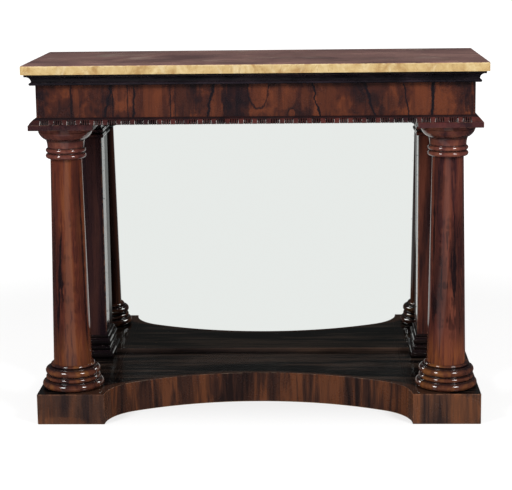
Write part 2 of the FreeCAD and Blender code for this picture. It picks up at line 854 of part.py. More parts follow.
def build_plinth_ends():
    face = bow_curve(as_size(0))
    core = bow_curve(size.veneer_thickness)
    skin = size.veneer_thickness
    wall_height = size.plinth_height - skin
    veneer_height = wall_height - size.veneer_lift
    corner = (as_size(0), plinth_front, as_size(0))
    veneer_corner = (as_size(0), plinth_front, size.veneer_lift)

    core_plan = [
        arc(core.face_x, skin, True, centre_y=0),
        point(plinth_half - skin, skin),
        point(plinth_half - skin, plinth_depth),
        point(plinth_inner, plinth_depth),
        point(plinth_inner, core.end_y),
    ]
    item = body("right_plinth_end_blank")
    pad(item, outline(item, "XY_Plane", core_plan), wall_height)
    place(item, *corner)
    tenon_room = size.column_tenon_depth - skin + size.mortise_slack
    socket = cylinder(
        "right_plinth_socket", (column_x, column_y, wall_height - tenon_room), bore_radius, tenon_room
    )
    both_sides("plinth_end", cut("right_plinth_end", item, [socket]))

    front_plan = [
        arc(bow_half_span, 0, True, centre_y=0),
        point(plinth_half, 0),
        point(plinth_half, skin),
        point(core.face_x, skin),
        arc(plinth_inner, core.end_y, False, centre_y=0),
        point(plinth_inner, face.end_y),
    ]
    front_veneer = slab("right_plinth_front_veneer", front_plan, veneer_height, veneer_corner)
    both_sides("plinth_front_veneer", front_veneer)

    both_sides("plinth_side_veneer", box(
        "right_plinth_side_veneer",
        (plinth_half - skin, plinth_front + skin, size.veneer_lift),
        (skin, plinth_depth - skin, veneer_height),
    ))

    top_plan = [
        arc(bow_half_span, 0, True, centre_y=0),
        point(plinth_half, 0),
        point(plinth_half, plinth_depth),
        point(plinth_inner, plinth_depth),
        point(plinth_inner, face.end_y),
    ]
    item = body("right_plinth_top_veneer")
    pad(item, outline(item, "XY_Plane", top_plan), skin)
    pocket(item, circle_outline(item, column_x, size.column_inset, bore_radius), skin)
    both_sides("plinth_top_veneer", place(item, as_size(0), plinth_front, wall_height))


def build_platform():
    face = bow_curve(as_size(0))
    core = bow_curve(size.veneer_thickness)
    rail_back = bow_curve(size.veneer_thickness + size.bow_rail_thickness)
    under_board = size.plinth_height - size.platform_thickness
    corner = (-plinth_inner, plinth_front, as_size(0))

    board = [
        *bow_forward(core),
        point(plinth_inner * 2, plinth_depth),
        point(0, plinth_depth),
    ]
    board_corner = (-plinth_inner, plinth_front, under_board)
    node(slab("platform_board", board, size.platform_thickness, board_corner))
    node(slab(
        "platform_front_veneer",
        bow_forward(face) + bow_backward(core),
        size.plinth_height - size.veneer_lift,
        (-plinth_inner, plinth_front, size.veneer_lift),
    ))
    node(slab("platform_front_rail", bow_forward(core) + bow_backward(rail_back), under_board, corner))

    rail_y = frame_back - size.plinth_rail_thickness
    node(box(
        "plinth_back_rail",
        (-plinth_inner, rail_y, as_size(0)),
        (plinth_inner * 2, size.plinth_rail_thickness, under_board),
    ))
    bearer_front = plinth_front + size.bow_depth + size.veneer_thickness + size.bow_rail_thickness
    node(box(
        "plinth_bearer",
        (-(size.plinth_rail_thickness / 2), bearer_front, as_size(0)),
        (size.plinth_rail_thickness, rail_y - bearer_front, under_board),
    ))

    blocks = []
    block_z = under_board - size.glue_block_side
    block_y = rail_y - size.glue_block_length
    for index, block_x in enumerate((plinth_inner - size.glue_block_side, size.plinth_rail_thickness / 2)):
        right = box(
            f"right_glue_block_{index}",
            (block_x, block_y, block_z),
            (size.glue_block_side, size.glue_block_length, size.glue_block_side),
        )
        blocks += [right, mirrored(f"left_glue_block_{index}", right)]
    node(compound("plinth_glue_blocks", blocks))


build_marble()
build_frieze()
build_cornice()
build_tablets()
build_columns()
build_back()
build_plinth_ends()
build_platform()
doc.recompute()

# Every object must have built, and every piece must be a sound solid, before anything is written
faults = [item.Label for item in doc.Objects if "Invalid" in item.State or "Error" in item.State]
faults += [item.Label for item in nodes if item.Shape.isNull() or not item.Shape.isValid()]
if faults:
    raise RuntimeError(f"not built: {faults}")
os.makedirs("parts", exist_ok=True)
for item in nodes:
    item.Shape.exportStep(f"parts/{item.Label}.step")
    print(item.Label, len(item.Shape.Solids), round(item.Shape.Volume))
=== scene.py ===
import math

import bmesh
import bpy
import numpy as np
from mathutils import Matrix, Vector


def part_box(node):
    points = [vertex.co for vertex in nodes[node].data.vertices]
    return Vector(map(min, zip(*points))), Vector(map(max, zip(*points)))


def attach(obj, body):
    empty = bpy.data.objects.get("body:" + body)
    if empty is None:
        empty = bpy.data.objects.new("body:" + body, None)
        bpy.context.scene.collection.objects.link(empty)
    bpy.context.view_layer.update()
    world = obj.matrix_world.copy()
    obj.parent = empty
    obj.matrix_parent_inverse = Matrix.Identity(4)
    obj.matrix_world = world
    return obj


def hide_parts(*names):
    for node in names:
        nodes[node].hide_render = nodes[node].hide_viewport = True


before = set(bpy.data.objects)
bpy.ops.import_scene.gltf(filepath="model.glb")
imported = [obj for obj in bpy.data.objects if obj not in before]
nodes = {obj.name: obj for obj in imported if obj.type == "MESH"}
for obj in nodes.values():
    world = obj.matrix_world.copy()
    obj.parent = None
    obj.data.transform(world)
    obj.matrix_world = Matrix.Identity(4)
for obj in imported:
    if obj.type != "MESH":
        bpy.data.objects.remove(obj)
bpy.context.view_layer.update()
scene = bpy.context.scene
mm = 0.001
print("frame:", len(nodes), "nodes")


# shape helpers

# quads between neighbours of a grid, joined up where the columns close on themselves
def gridFaces(rows, cols, closeCols=False, start=0):
    r = np.arange(rows - 1)[:, None]
    c = np.arange(cols if closeCols else cols - 1)[None, :]
    after = (c + 1) % cols
    quads = np.stack([r * cols + c, r * cols + after, (r + 1) * cols + after, (r + 1) * cols + c], -1)
    return (quads.reshape(-1, 4) + start).tolist()


# faces of a run of closed outlines: a grid that closes on itself, and a flat face at either end
def tubeFaces(rows, cols, start=0):
    last = start + (rows - 1) * cols
    ends = [list(range(start, start + cols)), list(range(last, last + cols))]
    return gridFaces(rows, cols, True, start) + ends


# the most that a corner's trim, and its trim and guard together, take of the shorter run beside it
mostTrim, mostHold = 0.4, 0.48


# each corner is trimmed by a radius and bridged by a parabola, with a guard point on either side;
# the second result is 1 on the bridges and 0 elsewhere
def softOutline(points, radius, closed=False, steps=4, guard=2.5 * mm, straight=25):
    corner = np.asarray(points, float)
    before, after = np.roll(corner, 1, 0) - corner, np.roll(corner, -1, 0) - corner
    runBefore = np.linalg.norm(before, axis=1)[:, None] + 1e-12
    runAfter = np.linalg.norm(after, axis=1)[:, None] + 1e-12
    before, after = before / runBefore, after / runAfter
    bend = np.degrees(np.arccos(np.clip(-(before * after).sum(1, keepdims=True), -1, 1)))
    shortest = np.minimum(runBefore, runAfter)
    trim = np.where(bend > straight, np.minimum(radius, mostTrim * shortest), 0)
    if not closed:
        trim[[0, -1]] = 0
    hold = np.where(trim > 0, np.minimum(trim + guard, mostHold * shortest), 0)
    k = np.linspace(0, 1, steps)[None, :, None]
    start, end = (corner + before * trim)[:, None], (corner + after * trim)[:, None]
    bridge = (1 - k) ** 2 * start + 2 * k * (1 - k) * corner[:, None] + k ** 2 * end
    line = np.concatenate([(corner + before * hold)[:, None], bridge, (corner + after * hold)[:, None]], 1)
    mark = np.zeros(line.shape[:2])
    mark[:, 1:-1] = trim > 0
    line, mark = line.reshape(-1, 2), mark.ravel()
    fresh = np.r_[True, np.linalg.norm(np.diff(line, axis=0), axis=1) > 1e-7]
    return line[fresh], mark[fresh]


# points of an arc: centre plus radius times cosine and sine, from one angle to another in degrees
def arcPoints(centre, radius, first, last, count):
    angle = np.radians(np.linspace(first, last, count))
    return np.stack([centre[0] + radius * np.cos(angle), centre[1] + radius * np.sin(angle)], 1)


# arc from start to end of a given radius, bulging to the right of the way it goes
def bulgeArc(start, end, radius, count=10):
    start, end = np.asarray(start, float), np.asarray(end, float)
    chord = end - start
    length = np.linalg.norm(chord)
    aside = np.array([-chord[1], chord[0]]) / length
    centre = (start + end) / 2 + aside * math.sqrt(radius ** 2 - length ** 2 / 4)
    first, last = (math.degrees(math.atan2(*(spot - centre)[::-1])) for spot in (start, end))
    return arcPoints(centre, radius, first, last, count)


# half-round ring: a half circle that stands out to a radius, from one height to another
def ringPoints(radius, height, z, count=13):
    return arcPoints((radius - height / 2, z + height / 2), height / 2, -90, 90, count)


# turned piece: outline (r, z) goes round a vertical axis, x = r cos a, y = r sin a
def turnedSurface(outline, axis, sides):
    angle = np.arange(sides) * 2 * np.pi / sides
    x = axis[0] + np.outer(outline[:, 0], np.cos(angle))
    y = axis[1] + np.outer(outline[:, 0], np.sin(angle))
    z = np.repeat(outline[:, 1:], sides, 1)
    return np.stack([x, y, z], -1).reshape(-1, 3), tubeFaces(len(outline), sides)


# moulding: outline (out, up) goes along a plan path, at path + out * outward and height up
def sweptSurface(path, outward, out, up):
    out = np.broadcast_to(out, (len(path), len(up)))
    plan = path[:, None] + out[..., None] * outward[:, None]
    points = np.concatenate([plan, np.broadcast_to(up, out.shape)[..., None]], -1)
    return points.reshape(-1, 3), tubeFaces(*out.shape)


# the way out to the right of a plan path at each of its points
def pathOutward(path):
    along = np.gradient(path, axis=0)
    along /= np.linalg.norm(along, axis=1, keepdims=True)
    return np.stack([along[:, 1], -along[:, 0]], 1)


# plan path round three sides of a block, left, front and right, mitred at the two front corners
def threeSides(left, right, front, back):
    path = np.array([[left, back], [left, front], [right, front], [right, back]])
    outward = np.array([[-1.0, 0], [-1, -1], [1, -1], [1, 0]])
    return path, outward


# block with soft arrises: six grids of a box are drawn to the box less its radius, plus the radius
# along the way from there
def softBlock(low, high, radius, steps=4):
    low, high = np.asarray(low, float), np.asarray(high, float)
    centre, half = (low + high) / 2, (high - low) / 2
    inner = half - radius
    turn = radius * np.tan(np.linspace(np.pi / 4, 0, steps))
    marks = [np.r_[-(side + turn), (side + turn)[::-1]] for side in inner]
    count = 2 * steps
    points, faces, arris = [], [], []
    for axis in range(3):
        second, third = (axis + 1) % 3, (axis + 2) % 3
        for sign in (-1, 1):
            grid = np.zeros((count, count, 3))
            grid[..., axis] = sign * half[axis]
            grid[..., second] = marks[second][:, None]
            grid[..., third] = marks[third][None, :]
            core = np.clip(grid, -inner, inner)
            away = grid - core
            arris.append(((np.abs(away) > 1e-7).sum(-1) > 1).ravel())
            away /= np.linalg.norm(away, axis=-1, keepdims=True)
            faces += gridFaces(count, count, start=len(points) * count * count)
            points.append((centre + core + radius * away).reshape(-1, 3))
    return np.concatenate(points), faces, np.concatenate(arris).astype(float)


# upright block on a plan outline: walls from foot to head, with the head's arris drawn in by a radius,
# times a share at each point of the outline, a level rim inside it, and flat ends; the third result is 1
# on the arris and 0 elsewhere
def uprightSurface(outline, foot, head, radius, share=1.0, steps=4, sharpest=0.35, rimShare=1.1):
    corner = np.asarray(outline, float)
    edge = np.roll(corner, -1, 0) - corner
    edge /= np.linalg.norm(edge, axis=1, keepdims=True)
    normal = np.stack([edge[:, 1], -edge[:, 0]], 1)
    inward = -(normal + np.roll(normal, 1, 0))
    inward *= np.reshape(share, (-1, 1)) / np.maximum(sharpest, (inward ** 2).sum(1, keepdims=True) / 2)
    turn = np.linspace(0, np.pi / 2, steps)
    guard = min(2.5 * mm, (head - foot) / 3)  # a row below the arris keeps the walls' shading flat
    step = np.r_[0, 0, radius * (1 - np.cos(turn)), rimShare * radius]
    up = np.r_[foot, head - radius - guard, head - radius + radius * np.sin(turn), head]
    plan = corner[None] + step[:, None, None] * inward[None]
    points = np.concatenate([plan, np.broadcast_to(up[:, None, None], plan.shape[:2] + (1,))], -1)
    rows, cols = plan.shape[:2]
    mark = np.repeat(np.r_[0, 0, np.ones(steps - 1), 0, 0], cols)
    return points.reshape(-1, 3), tubeFaces(rows, cols), mark


# how deep each point of an outline (out, up) lies behind its furthest neighbour within a reach, 0 to 1: the
# share of painted shade it gets
def recessOf(outline, reach=5 * mm, depth=5 * mm):
    near = np.abs(outline[:, 1][:, None] - outline[:, 1][None]) < reach
    furthest = np.where(near, outline[:, 0][None], -1).max(1)
    return np.clip((furthest - outline[:, 0]) / depth, 0, 1)


# puts arrays into a mesh, closes its seams, turns its faces outwards and lets it ride on its body
def addPiece(
    name, points, faces, finishes, slot, standsFor, body="carcase", faceFinish=None, sharp=42, **marks
):
    mesh = bpy.data.meshes.new(name)
    mesh.from_pydata(points.tolist(), [], faces)
    for mark, values in marks.items():  # arris and painted shade, one value a point
        layer = mesh.attributes.new(mark, "FLOAT", "POINT")
        layer.data.foreach_set("value", np.asarray(values, np.float32).ravel())
    for finish in finishes:
        mesh.materials.append(finish)
    if faceFinish is not None:
        mesh.polygons.foreach_set("material_index", np.asarray(faceFinish, np.int32))
    shell = bmesh.new()
    shell.from_mesh(mesh)
    bmesh.ops.remove_doubles(shell, verts=shell.verts, dist=1e-6)
    bmesh.ops.recalc_face_normals(shell, faces=shell.faces)
    shell.to_mesh(mesh)
    shell.free()
    mesh.polygons.foreach_set("use_smooth", np.ones(len(mesh.polygons), bool))
    mesh.set_sharp_from_angle(angle=math.radians(sharp))
    piece = bpy.data.objects.new(name, mesh)
    scene.collection.objects.link(piece)
    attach(piece, body)
    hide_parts(*standsFor)
    return piece


# node helpers

# a node's output: sums, products and the like of wires add the math nodes that work them out
class Wire:
    def __init__(self, tree, socket):
        self.tree, self.socket = tree, socket

    def calc(self, operation, other=0.0):
        return addWire(self.tree, "ShaderNodeMath", {0: self, 1: other}, operation=operation)

    def __add__(self, other):
        return self.calc("ADD", other)

    def __sub__(self, other):
        return self.calc("SUBTRACT", other)

    def __rsub__(self, other):
        return addWire(self.tree, "ShaderNodeMath", {0: other, 1: self}, operation="SUBTRACT")

    def __mul__(self, other):
        return self.calc("MULTIPLY", other)

    def __truediv__(self, other):
        return self.calc("DIVIDE", other)

    def __abs__(self):
        return self.calc("ABSOLUTE")

    # smooth step from outLow to outHigh as the wire goes from low to high
    def between(self, low, high, outLow=0.0, outHigh=1.0):
        inputs = {0: self, 1: low, 2: high, 3: outLow, 4: outHigh}
        return addWire(self.tree, "ShaderNodeMapRange", inputs, interpolation_type="SMOOTHSTEP")

    def noise(self, scale, detail=3.0, rough=0.5, twist=0.0):
        inputs = {"Vector": self, "Scale": scale, "Detail": detail, "Roughness": rough, "Distortion": twist}
        return addWire(self.tree, "ShaderNodeTexNoise", inputs)

    # place times scale, plus an offset
    def stretched(self, scale, offset=(0, 0, 0)):
        return addWire(self.tree, "ShaderNodeMapping", {"Vector": self, "Location": offset, "Scale": scale})

    def length(self):
        return addWire(self.tree, "ShaderNodeVectorMath", {0: self}, "Value", operation="LENGTH")

    def parts(self):
        return addWires(self.tree, "ShaderNodeSeparateXYZ", {0: self}).values()

    def bump(self, strength, reach):
        return addWire(self.tree, "ShaderNodeBump", {"Height": self, "Strength": strength, "Distance": reach})


# links each input to a wire or sets it to a value
def setInputs(made, inputs):
    for key, value in inputs.items():
        if isinstance(value, Wire):
            value.tree.links.new(value.socket, made.inputs[key])
        else:
            made.inputs[key].default_value = value


def addNode(tree, kind, inputs=None, **settings):
    made = tree.nodes.new(kind)
    for key, value in settings.items():
        setattr(made, key, value)
    setInputs(made, inputs or {})
    return made


def addWire(tree, kind, inputs=None, output=0, **settings):
    return Wire(tree, addNode(tree, kind, inputs, **settings).outputs[output])


def addWires(tree, kind, inputs=None, **settings):
    return {out.name: Wire(tree, out) for out in addNode(tree, kind, inputs, **settings).outputs}


# screen colour 0 to 255 to the light value that renders as it
def tint(red, green, blue):
    share = np.array([red, green, blue]) / 255
    light = np.where(share <= 0.04045, share / 12.92, ((share + 0.055) / 1.055) ** 2.4)
    return (*light.tolist(), 1.0)


def tintsOf(look, *keys):
    return [tint(*look[key]) for key in keys]


# first colour towards the second by a share; at least one of the three is a wire
def blend(share, first, second, way="MIX"):
    tree = next(item.tree for item in (share, first, second) if isinstance(item, Wire))
    inputs = {0: share, 6: first, 7: second}
    return addWire(tree, "ShaderNodeMix", inputs, 2, data_type="RGBA", blend_type=way)


# a mesh's own value at each point, arris or recess
def pointMark(tree, name):
    return addWire(tree, "ShaderNodeAttribute", output="Fac", attribute_name=name)


def newGroup(name, inputs, outputs):
    group = bpy.data.node_groups.new(name, "ShaderNodeTree")
    for way, sockets in (("INPUT", inputs), ("OUTPUT", outputs)):
        for label, kind in sockets.items():
            group.interface.new_socket(label, in_out=way, socket_type=f"NodeSocket{kind}")
    return group, addWires(group, "NodeGroupInput")


def useGroup(tree, group, inputs):
    return addWires(tree, "ShaderNodeGroup", inputs, node_tree=group)


def clearTree(owner):
    owner.use_nodes = True
    owner.node_tree.nodes.clear()
    return owner.node_tree


def newFinish(name):
    material = bpy.data.materials.new(name)
    tree = clearTree(material)
    shader = addNode(tree, "ShaderNodeBsdfPrincipled")
    addNode(tree, "ShaderNodeOutputMaterial", {0: Wire(tree, shader.outputs[0])})
    return material, tree, shader, addWire(tree, "ShaderNodeTexCoord", output="Object")


# shared effects

# wood figure: broad bands, smoky clouds and fine streaks of stretched noise, dark lines along the bands'
# level curves, pores; the scales are in bands
figureShape = {
    "smokeScale": 2.6, "streakScale": 6.0, "poreScale": 36.0, "breakScale": 2.3, "midTone": (0.32, 0.5),
    "lightTone": (0.48, 0.68), "lines": 9.0, "lineSway": 0.1, "lineCore": 0.3, "breaks": (0.45, 0.6),
    "pores": (0.3, 0.46), "poreShade": 0.75, "streakReach": (0.3, 0.62), "streakHeight": 0.5,
}


def makeWoodFigure(look):
    colours = dict.fromkeys(("Light", "Mid", "Dark", "Line"), "Color")
    shares = dict.fromkeys(("Band Scale", "Smoke", "Streaks", "Line Share", "Line Width"), "Float")
    inputs = {"Vector": "Vector", "Fine": "Vector", **colours, **shares}
    group, given = newGroup("woodFigure", inputs, {"Colour": "Color", "Streak": "Float", "Height": "Float"})
    broad, along, scale = given["Vector"], given["Fine"], given["Band Scale"]
    band = broad.noise(scale, 2.5, 0.5, 0.6)
    smoke = broad.noise(scale * look["smokeScale"], 5, 0.62, 1.0)
    streak = along.noise(scale * look["streakScale"], 4, 0.62, 0.2)
    pore = along.noise(scale * look["poreScale"], 2, 0.6)
    clouds = (smoke - 0.5) * given["Smoke"]
    tone = band + (clouds + (streak - 0.5) * given["Streaks"])
    colour = blend(tone.between(*look["midTone"]), given["Dark"], given["Mid"])
    colour = blend(tone.between(*look["lightTone"]), colour, given["Light"])
    level = ((band + clouds * look["lineSway"]) * look["lines"]).calc("PINGPONG", 0.5)
    line = (level / given["Line Width"]).between(look["lineCore"], 1.0, 1.0, 0.0)
    broken = broad.noise(scale * look["breakScale"], 2).between(*look["breaks"])
    colour = blend(line * broken * given["Line Share"], colour, given["Line"])
    speck = pore.between(*look["pores"], look["poreShade"], 1.0)
    addNode(group, "NodeGroupOutput", {
        "Colour": blend(1.0, colour, speck, "MULTIPLY"), "Streak": streak.between(*look["streakReach"]),
        "Height": speck + streak * look["streakHeight"],
    })
    return group


# one dark line of a figure: nearness of x to a place that goes from foot to head and wanders with height;
# it narrows and fades towards both ends, and frays, but never to less than a share of its width
inkShape = {
    "swayScale": 24.0, "frayScale": 36.0, "fray": 2.5, "leastWidth": 0.25, "endWidth": 0.3, "core": 0.4
}


def makeInkLine(look):
    labels = (
        "X", "Z", "Foot X", "Head X", "Width", "Wander", "Foot Z", "Head Z", "Seed", "Jag", "Fade", "Ragged"
    )
    group, given = newGroup("inkLine", dict.fromkeys(labels, "Float"), {"Mask": "Float"})
    z, footZ, headZ, jag = (given[label] for label in ("Z", "Foot Z", "Head Z", "Jag"))
    spot = addWire(group, "ShaderNodeCombineXYZ", {0: given["Seed"], 2: z})
    sway = spot.noise(look["swayScale"], jag + 1.0, 0.68) - 0.5
    fray = spot.noise(look["frayScale"], jag * 0.5, 0.6) - 0.5
    ends = {0: z, 1: footZ, 2: headZ, 3: given["Foot X"], 4: given["Head X"]}
    middle = addWire(group, "ShaderNodeMapRange", ends) + sway * given["Wander"]
    inside = ((z - footZ).calc("MINIMUM", headZ - z) / given["Fade"]).between(0.0, 1.0)
    width = given["Width"] * (inside * (1 - look["endWidth"]) + look["endWidth"])
    width = width * (fray * look["fray"] + 1.0).calc("MAXIMUM", look["leastWidth"])
    gap = abs(given["X"] - middle) / width + given["Ragged"]
    addNode(group, "NodeGroupOutput", {"Mask": gap.between(look["core"], 1.0, 1.0, 0.0) * inside})
    return group


# one patch of a figure: an uneven ellipse, 1 inside, and the line round it
islandShape = {"scale": 1.6, "uneven": 0.5, "core": 0.8, "rim": (0.02, 0.1)}


def makeIsland(look):
    labels = ("X", "Z", "At X", "At Z", "Half X", "Half Z")
    group, given = newGroup("island", dict.fromkeys(labels, "Float"), {"Inside": "Float", "Rim": "Float"})
    across = (given["X"] - given["At X"]) / given["Half X"]
    along = (given["Z"] - given["At Z"]) / given["Half Z"]
    spot = addWire(group, "ShaderNodeCombineXYZ", {0: across, 1: along})
    reach = spot.length() + (spot.noise(look["scale"], 3) - 0.5) * look["uneven"]
    inside = reach.between(look["core"], 1.0, 1.0, 0.0)
    rim = abs(reach - 1.0).between(*look["rim"], 1.0, 0.0)
    addNode(group, "NodeGroupOutput", {"Inside": inside, "Rim": rim})
    return group


# wear: patchy mask along arrises, and a fine unevenness of the polish
handlingShape = {
    "patchScale": 55.0, "patch": (0.42, 0.62), "cloudScale": 9.0, "fineScale": 210.0, "fineShare": 0.3
}


def makeHandling(look):
    inputs = {"Vector": "Vector", "Arris": "Float"}
    group, given = newGroup("handling", inputs, {"Wear": "Float", "Haze": "Float"})
    place = given["Vector"]
    patch = place.noise(look["patchScale"], 4, 0.6).between(*look["patch"])
    cloud, fine = place.noise(look["cloudScale"], 3, 0.55), place.noise(look["fineScale"], 2, 0.5)
    haze = cloud * (1 - look["fineShare"]) + fine * look["fineShare"]
    addNode(group, "NodeGroupOutput", {"Wear": given["Arris"] * patch, "Haze": haze})
    return group


hazeReach = (0.3, 0.7)  # the span of haze that a finish's roughness follows
woodFigure, inkLine = makeWoodFigure(figureShape), makeInkLine(inkShape)
island, handling = makeIsland(islandShape), makeHandling(handlingShape)


# finishes

# polished rosewood: figure along a stretched direction, its own dark lines and patches, warmer towards a
# foot, banded along an arc, darkened in recesses as painted shade, and lighter at worn arrises, which on the
# tablets are painted highlights; lines wider than broadLine are more ragged, and streaky
rosewoodShape = {
    "lineWidth": 0.14, "broadLine": 0.01, "raggedBroad": 1.2, "raggedFine": 0.4, "streaky": 0.75,
    "rimShare": 0.85, "bandShare": 0.8, "bandCore": 0.6, "dulled": 0.12, "bumpReach": 0.0006,
}


def rosewoodFinish(name, look, shape=rosewoodShape):
    material, tree, shader, place = newFinish(name)
    x, y, z = place.parts()
    if "axis" in look:  # round a column x is the way along its face from the front
        axisX, axisY, radius = look["axis"]
        x = (x - axisX).calc("ARCTAN2", axisY - y) * radius + axisX
    offset = look.get("place", (0, 0, 0))
    light, mid, dark, lineColour, worn = tintsOf(look, "light", "mid", "dark", "line", "worn")
    figure = useGroup(tree, woodFigure, {
        "Vector": place.stretched(look["stretch"], offset), "Light": light, "Mid": mid, "Dark": dark,
        "Fine": place.stretched(look.get("fine", look["stretch"]), offset), "Line": lineColour,
        "Band Scale": look["bandScale"], "Smoke": look["smoke"], "Streaks": look["streaks"],
        "Line Share": look["lineShare"], "Line Width": shape["lineWidth"],
    })
    colour, streak = figure["Colour"], figure["Streak"]
    bright = blend(streak, mid, light)
    for atX, atZ, halfX, halfZ, share in look.get("islands", ()):
        spot = {"X": x, "Z": z, "At X": atX, "At Z": atZ, "Half X": halfX, "Half Z": halfZ}
        patch = useGroup(tree, island, spot)
        colour = blend(patch["Inside"] * abs(share), colour, bright)
        if share > 0:
            colour = blend(patch["Rim"] * shape["rimShare"], colour, lineColour)
    if "foot" in look:
        glow, footZ, headZ, share = look["foot"]
        colour = blend(z.between(footZ, headZ, share, 0.0) * streak, colour, tint(*glow))
    for footX, headX, width, wander, share, footZ, headZ in look.get("inkLines", ()):
        broad = width > shape["broadLine"]
        mask = useGroup(tree, inkLine, {
            "X": x, "Z": z, "Foot X": footX, "Head X": headX, "Width": width, "Wander": wander,
            "Foot Z": footZ, "Head Z": headZ, "Seed": footX * 7 + width * 90, "Jag": look.get("jag", 0.5),
            "Fade": look.get("fade", 0.02),
            "Ragged": (0.5 - streak) * shape["raggedBroad" if broad else "raggedFine"],
        })["Mask"]
        if broad:
            mask = mask * streak.between(0.0, 1.0, 1.0, shape["streaky"])
        colour = blend(mask * abs(share), colour, lineColour if share > 0 else light)
    if "band" in look:
        centreY, radius, width, bandColour = look["band"]
        fromEdge = place.stretched((1, 1, 0), (0, -centreY, 0)).length() - radius
        edge = fromEdge.between(shape["bandCore"] * width, width, 1.0, 0.0)
        colour = blend(edge * shape["bandShare"], colour, tint(*bandColour))
    # painted shade: each point's mark darkens the colour towards the line colour in recesses
    recess = pointMark(tree, "recess")
    touch = useGroup(tree, handling, {"Vector": place, "Arris": pointMark(tree, "arris")})
    colour = blend(touch["Wear"] * look.get("wornShare", 0.45), colour, worn)
    colour = blend(recess * look.get("recessShare", 0.85), colour, lineColour)
    rough = touch["Haze"].between(*hazeReach, *look["rough"])
    rough = rough + (touch["Wear"] + recess) * shape["dulled"]
    setInputs(shader, {
        "Base Color": colour, "Roughness": rough, "Specular IOR Level": look["gloss"],
        "Normal": figure["Height"].bump(look.get("bump", 0.06), shape["bumpReach"]),
    })
    return material


# inkLines hold x at foot and head, width, wander, share (drawn light below zero), z from and to;
# islands hold place, half width and height, share (no rim below zero); foot a glow, its z from and to, share
turnedLook = {"line": (22, 14, 18), "smoke": 0.5, "streaks": 0.3, "worn": (140, 92, 62)}
columnLook = {
    **turnedLook, "stretch": (1, 1, 0.07), "light": (115, 64, 39), "mid": (89, 44, 32),
    "dark": (63, 33, 30), "bandScale": 24.0, "lineShare": 0.35, "rough": (0.06, 0.09), "gloss": 0.55,
    "fade": 0.1, "jag": 3.0, "foot": ((122, 70, 38), 0.17, 0.27, 0.5),
}
columnFinish = {
    # the first ink line of each column, drawn light down its front, is partly figure and partly a painted
    # highlight
    "left": rosewoodFinish("leftColumnRosewood", {
        **columnLook, "axis": (-0.481, -0.1265, 0.041), "inkLines": [
            (-0.481, -0.477, 0.013, 0.004, -0.6, 0.1, 0.72),
            (-0.51, -0.493, 0.0034, 0.012, 0.95, 0.19, 0.54), (-0.5, -0.49, 0.002, 0.01, 0.8, 0.3, 0.57),
            (-0.494, -0.497, 0.0046, 0.012, 0.9, 0.25, 0.45),
            (-0.506, -0.512, 0.002, 0.012, 0.8, 0.18, 0.36),
            (-0.455, -0.457, 0.0034, 0.01, 0.7, 0.24, 0.36), (-0.517, -0.514, 0.004, 0.01, 0.5, 0.3, 0.6),
            (-0.516, -0.514, 0.024, 0.008, 0.6, 0.12, 0.54), (-0.446, -0.45, 0.014, 0.006, 0.5, 0.2, 0.72),
            (-0.436, -0.441, 0.004, 0.001, 0.7, 0.15, 0.67),
        ],
    }),
    "right": rosewoodFinish("rightColumnRosewood", {
        **columnLook, "light": (108, 59, 45), "mid": (82, 42, 36), "dark": (57, 31, 32),
        "foot": ((128, 72, 38), 0.16, 0.24, 0.75), "axis": (0.481, -0.1265, 0.041), "inkLines": [
            (0.474, 0.479, 0.013, 0.006, -0.55, 0.1, 0.72), (0.499, 0.491, 0.003, 0.012, 0.95, 0.44, 0.6),
            (0.497, 0.516, 0.0026, 0.006, 0.9, 0.45, 0.56), (0.494, 0.495, 0.0052, 0.012, 0.95, 0.24, 0.52),
            (0.487, 0.489, 0.002, 0.008, 0.8, 0.3, 0.5), (0.495, 0.495, 0.0018, 0.005, 0.75, 0.6, 0.74),
            (0.449, 0.445, 0.006, 0.012, 0.9, 0.2, 0.38), (0.441, 0.443, 0.0045, 0.006, 0.85, 0.36, 0.63),
            (0.464, 0.466, 0.0018, 0.008, 0.7, 0.26, 0.46), (0.51, 0.512, 0.034, 0.014, 0.85, 0.16, 0.58),
            (0.472, 0.468, 0.026, 0.01, 0.5, 0.2, 0.48), (0.45, 0.45, 0.014, 0.006, 0.5, 0.24, 0.72),
            (0.449, 0.447, 0.013, 0.01, 0.6, 0.2, 0.4),
        ],
    }),
}
ringLook = {
    **turnedLook, "stretch": (1, 1, 0.5), "bandScale": 14.0, "light": (128, 76, 50), "mid": (100, 56, 43),
    "dark": (62, 36, 33), "lineShare": 0.15, "rough": (0.05, 0.08), "gloss": 0.65, "bump": 0.008,
}
ringFinish = {
    "base": rosewoodFinish("baseRosewood", {
        **ringLook, "light": (126, 78, 44), "mid": (92, 52, 38), "dark": (48, 28, 27),
    }),
    "capital": rosewoodFinish("capitalRosewood", {
        **ringLook, "light": (123, 72, 57), "mid": (96, 53, 47), "dark": (63, 37, 40), "recessShare": 0.65,
    }),
}
abacusRosewood = rosewoodFinish("abacusRosewood", {
    **ringLook, "light": (88, 45, 43), "mid": (68, 36, 37), "dark": (44, 26, 30), "rough": (0.2, 0.3),
    # the broad dark line on the left darkens the left abacus as painted shade
    "gloss": 0.35, "inkLines": [(-0.5, -0.5, 0.25, 0.0, 0.6, 0.7, 0.82)],
})
# the pilasters' dark tones are partly painted shade, as they stand behind the columns, and the darker left
# copy is painted shade
pilasterLook = {
    **ringLook, "stretch": (1, 1, 0.06), "bandScale": 26.0, "light": (60, 37, 34), "mid": (44, 28, 29),
    "dark": (28, 19, 23), "place": (0.3, 0.2, 0), "rough": (0.1, 0.16), "gloss": 0.5,
}
pilasterFinish = {
    "left": rosewoodFinish("leftPilasterRosewood", pilasterLook),
    "right": rosewoodFinish("rightPilasterRosewood", {
        **pilasterLook, "light": (98, 54, 42), "mid": (74, 41, 34), "dark": (42, 26, 26),
    }),
}
# the pilaster bases: near black, a painted shadow where the columns shade them
footRosewood = rosewoodFinish("footRosewood", {
    **ringLook, "light": (30, 22, 21), "mid": (20, 16, 16), "dark": (13, 11, 12), "gloss": 0.5,
})
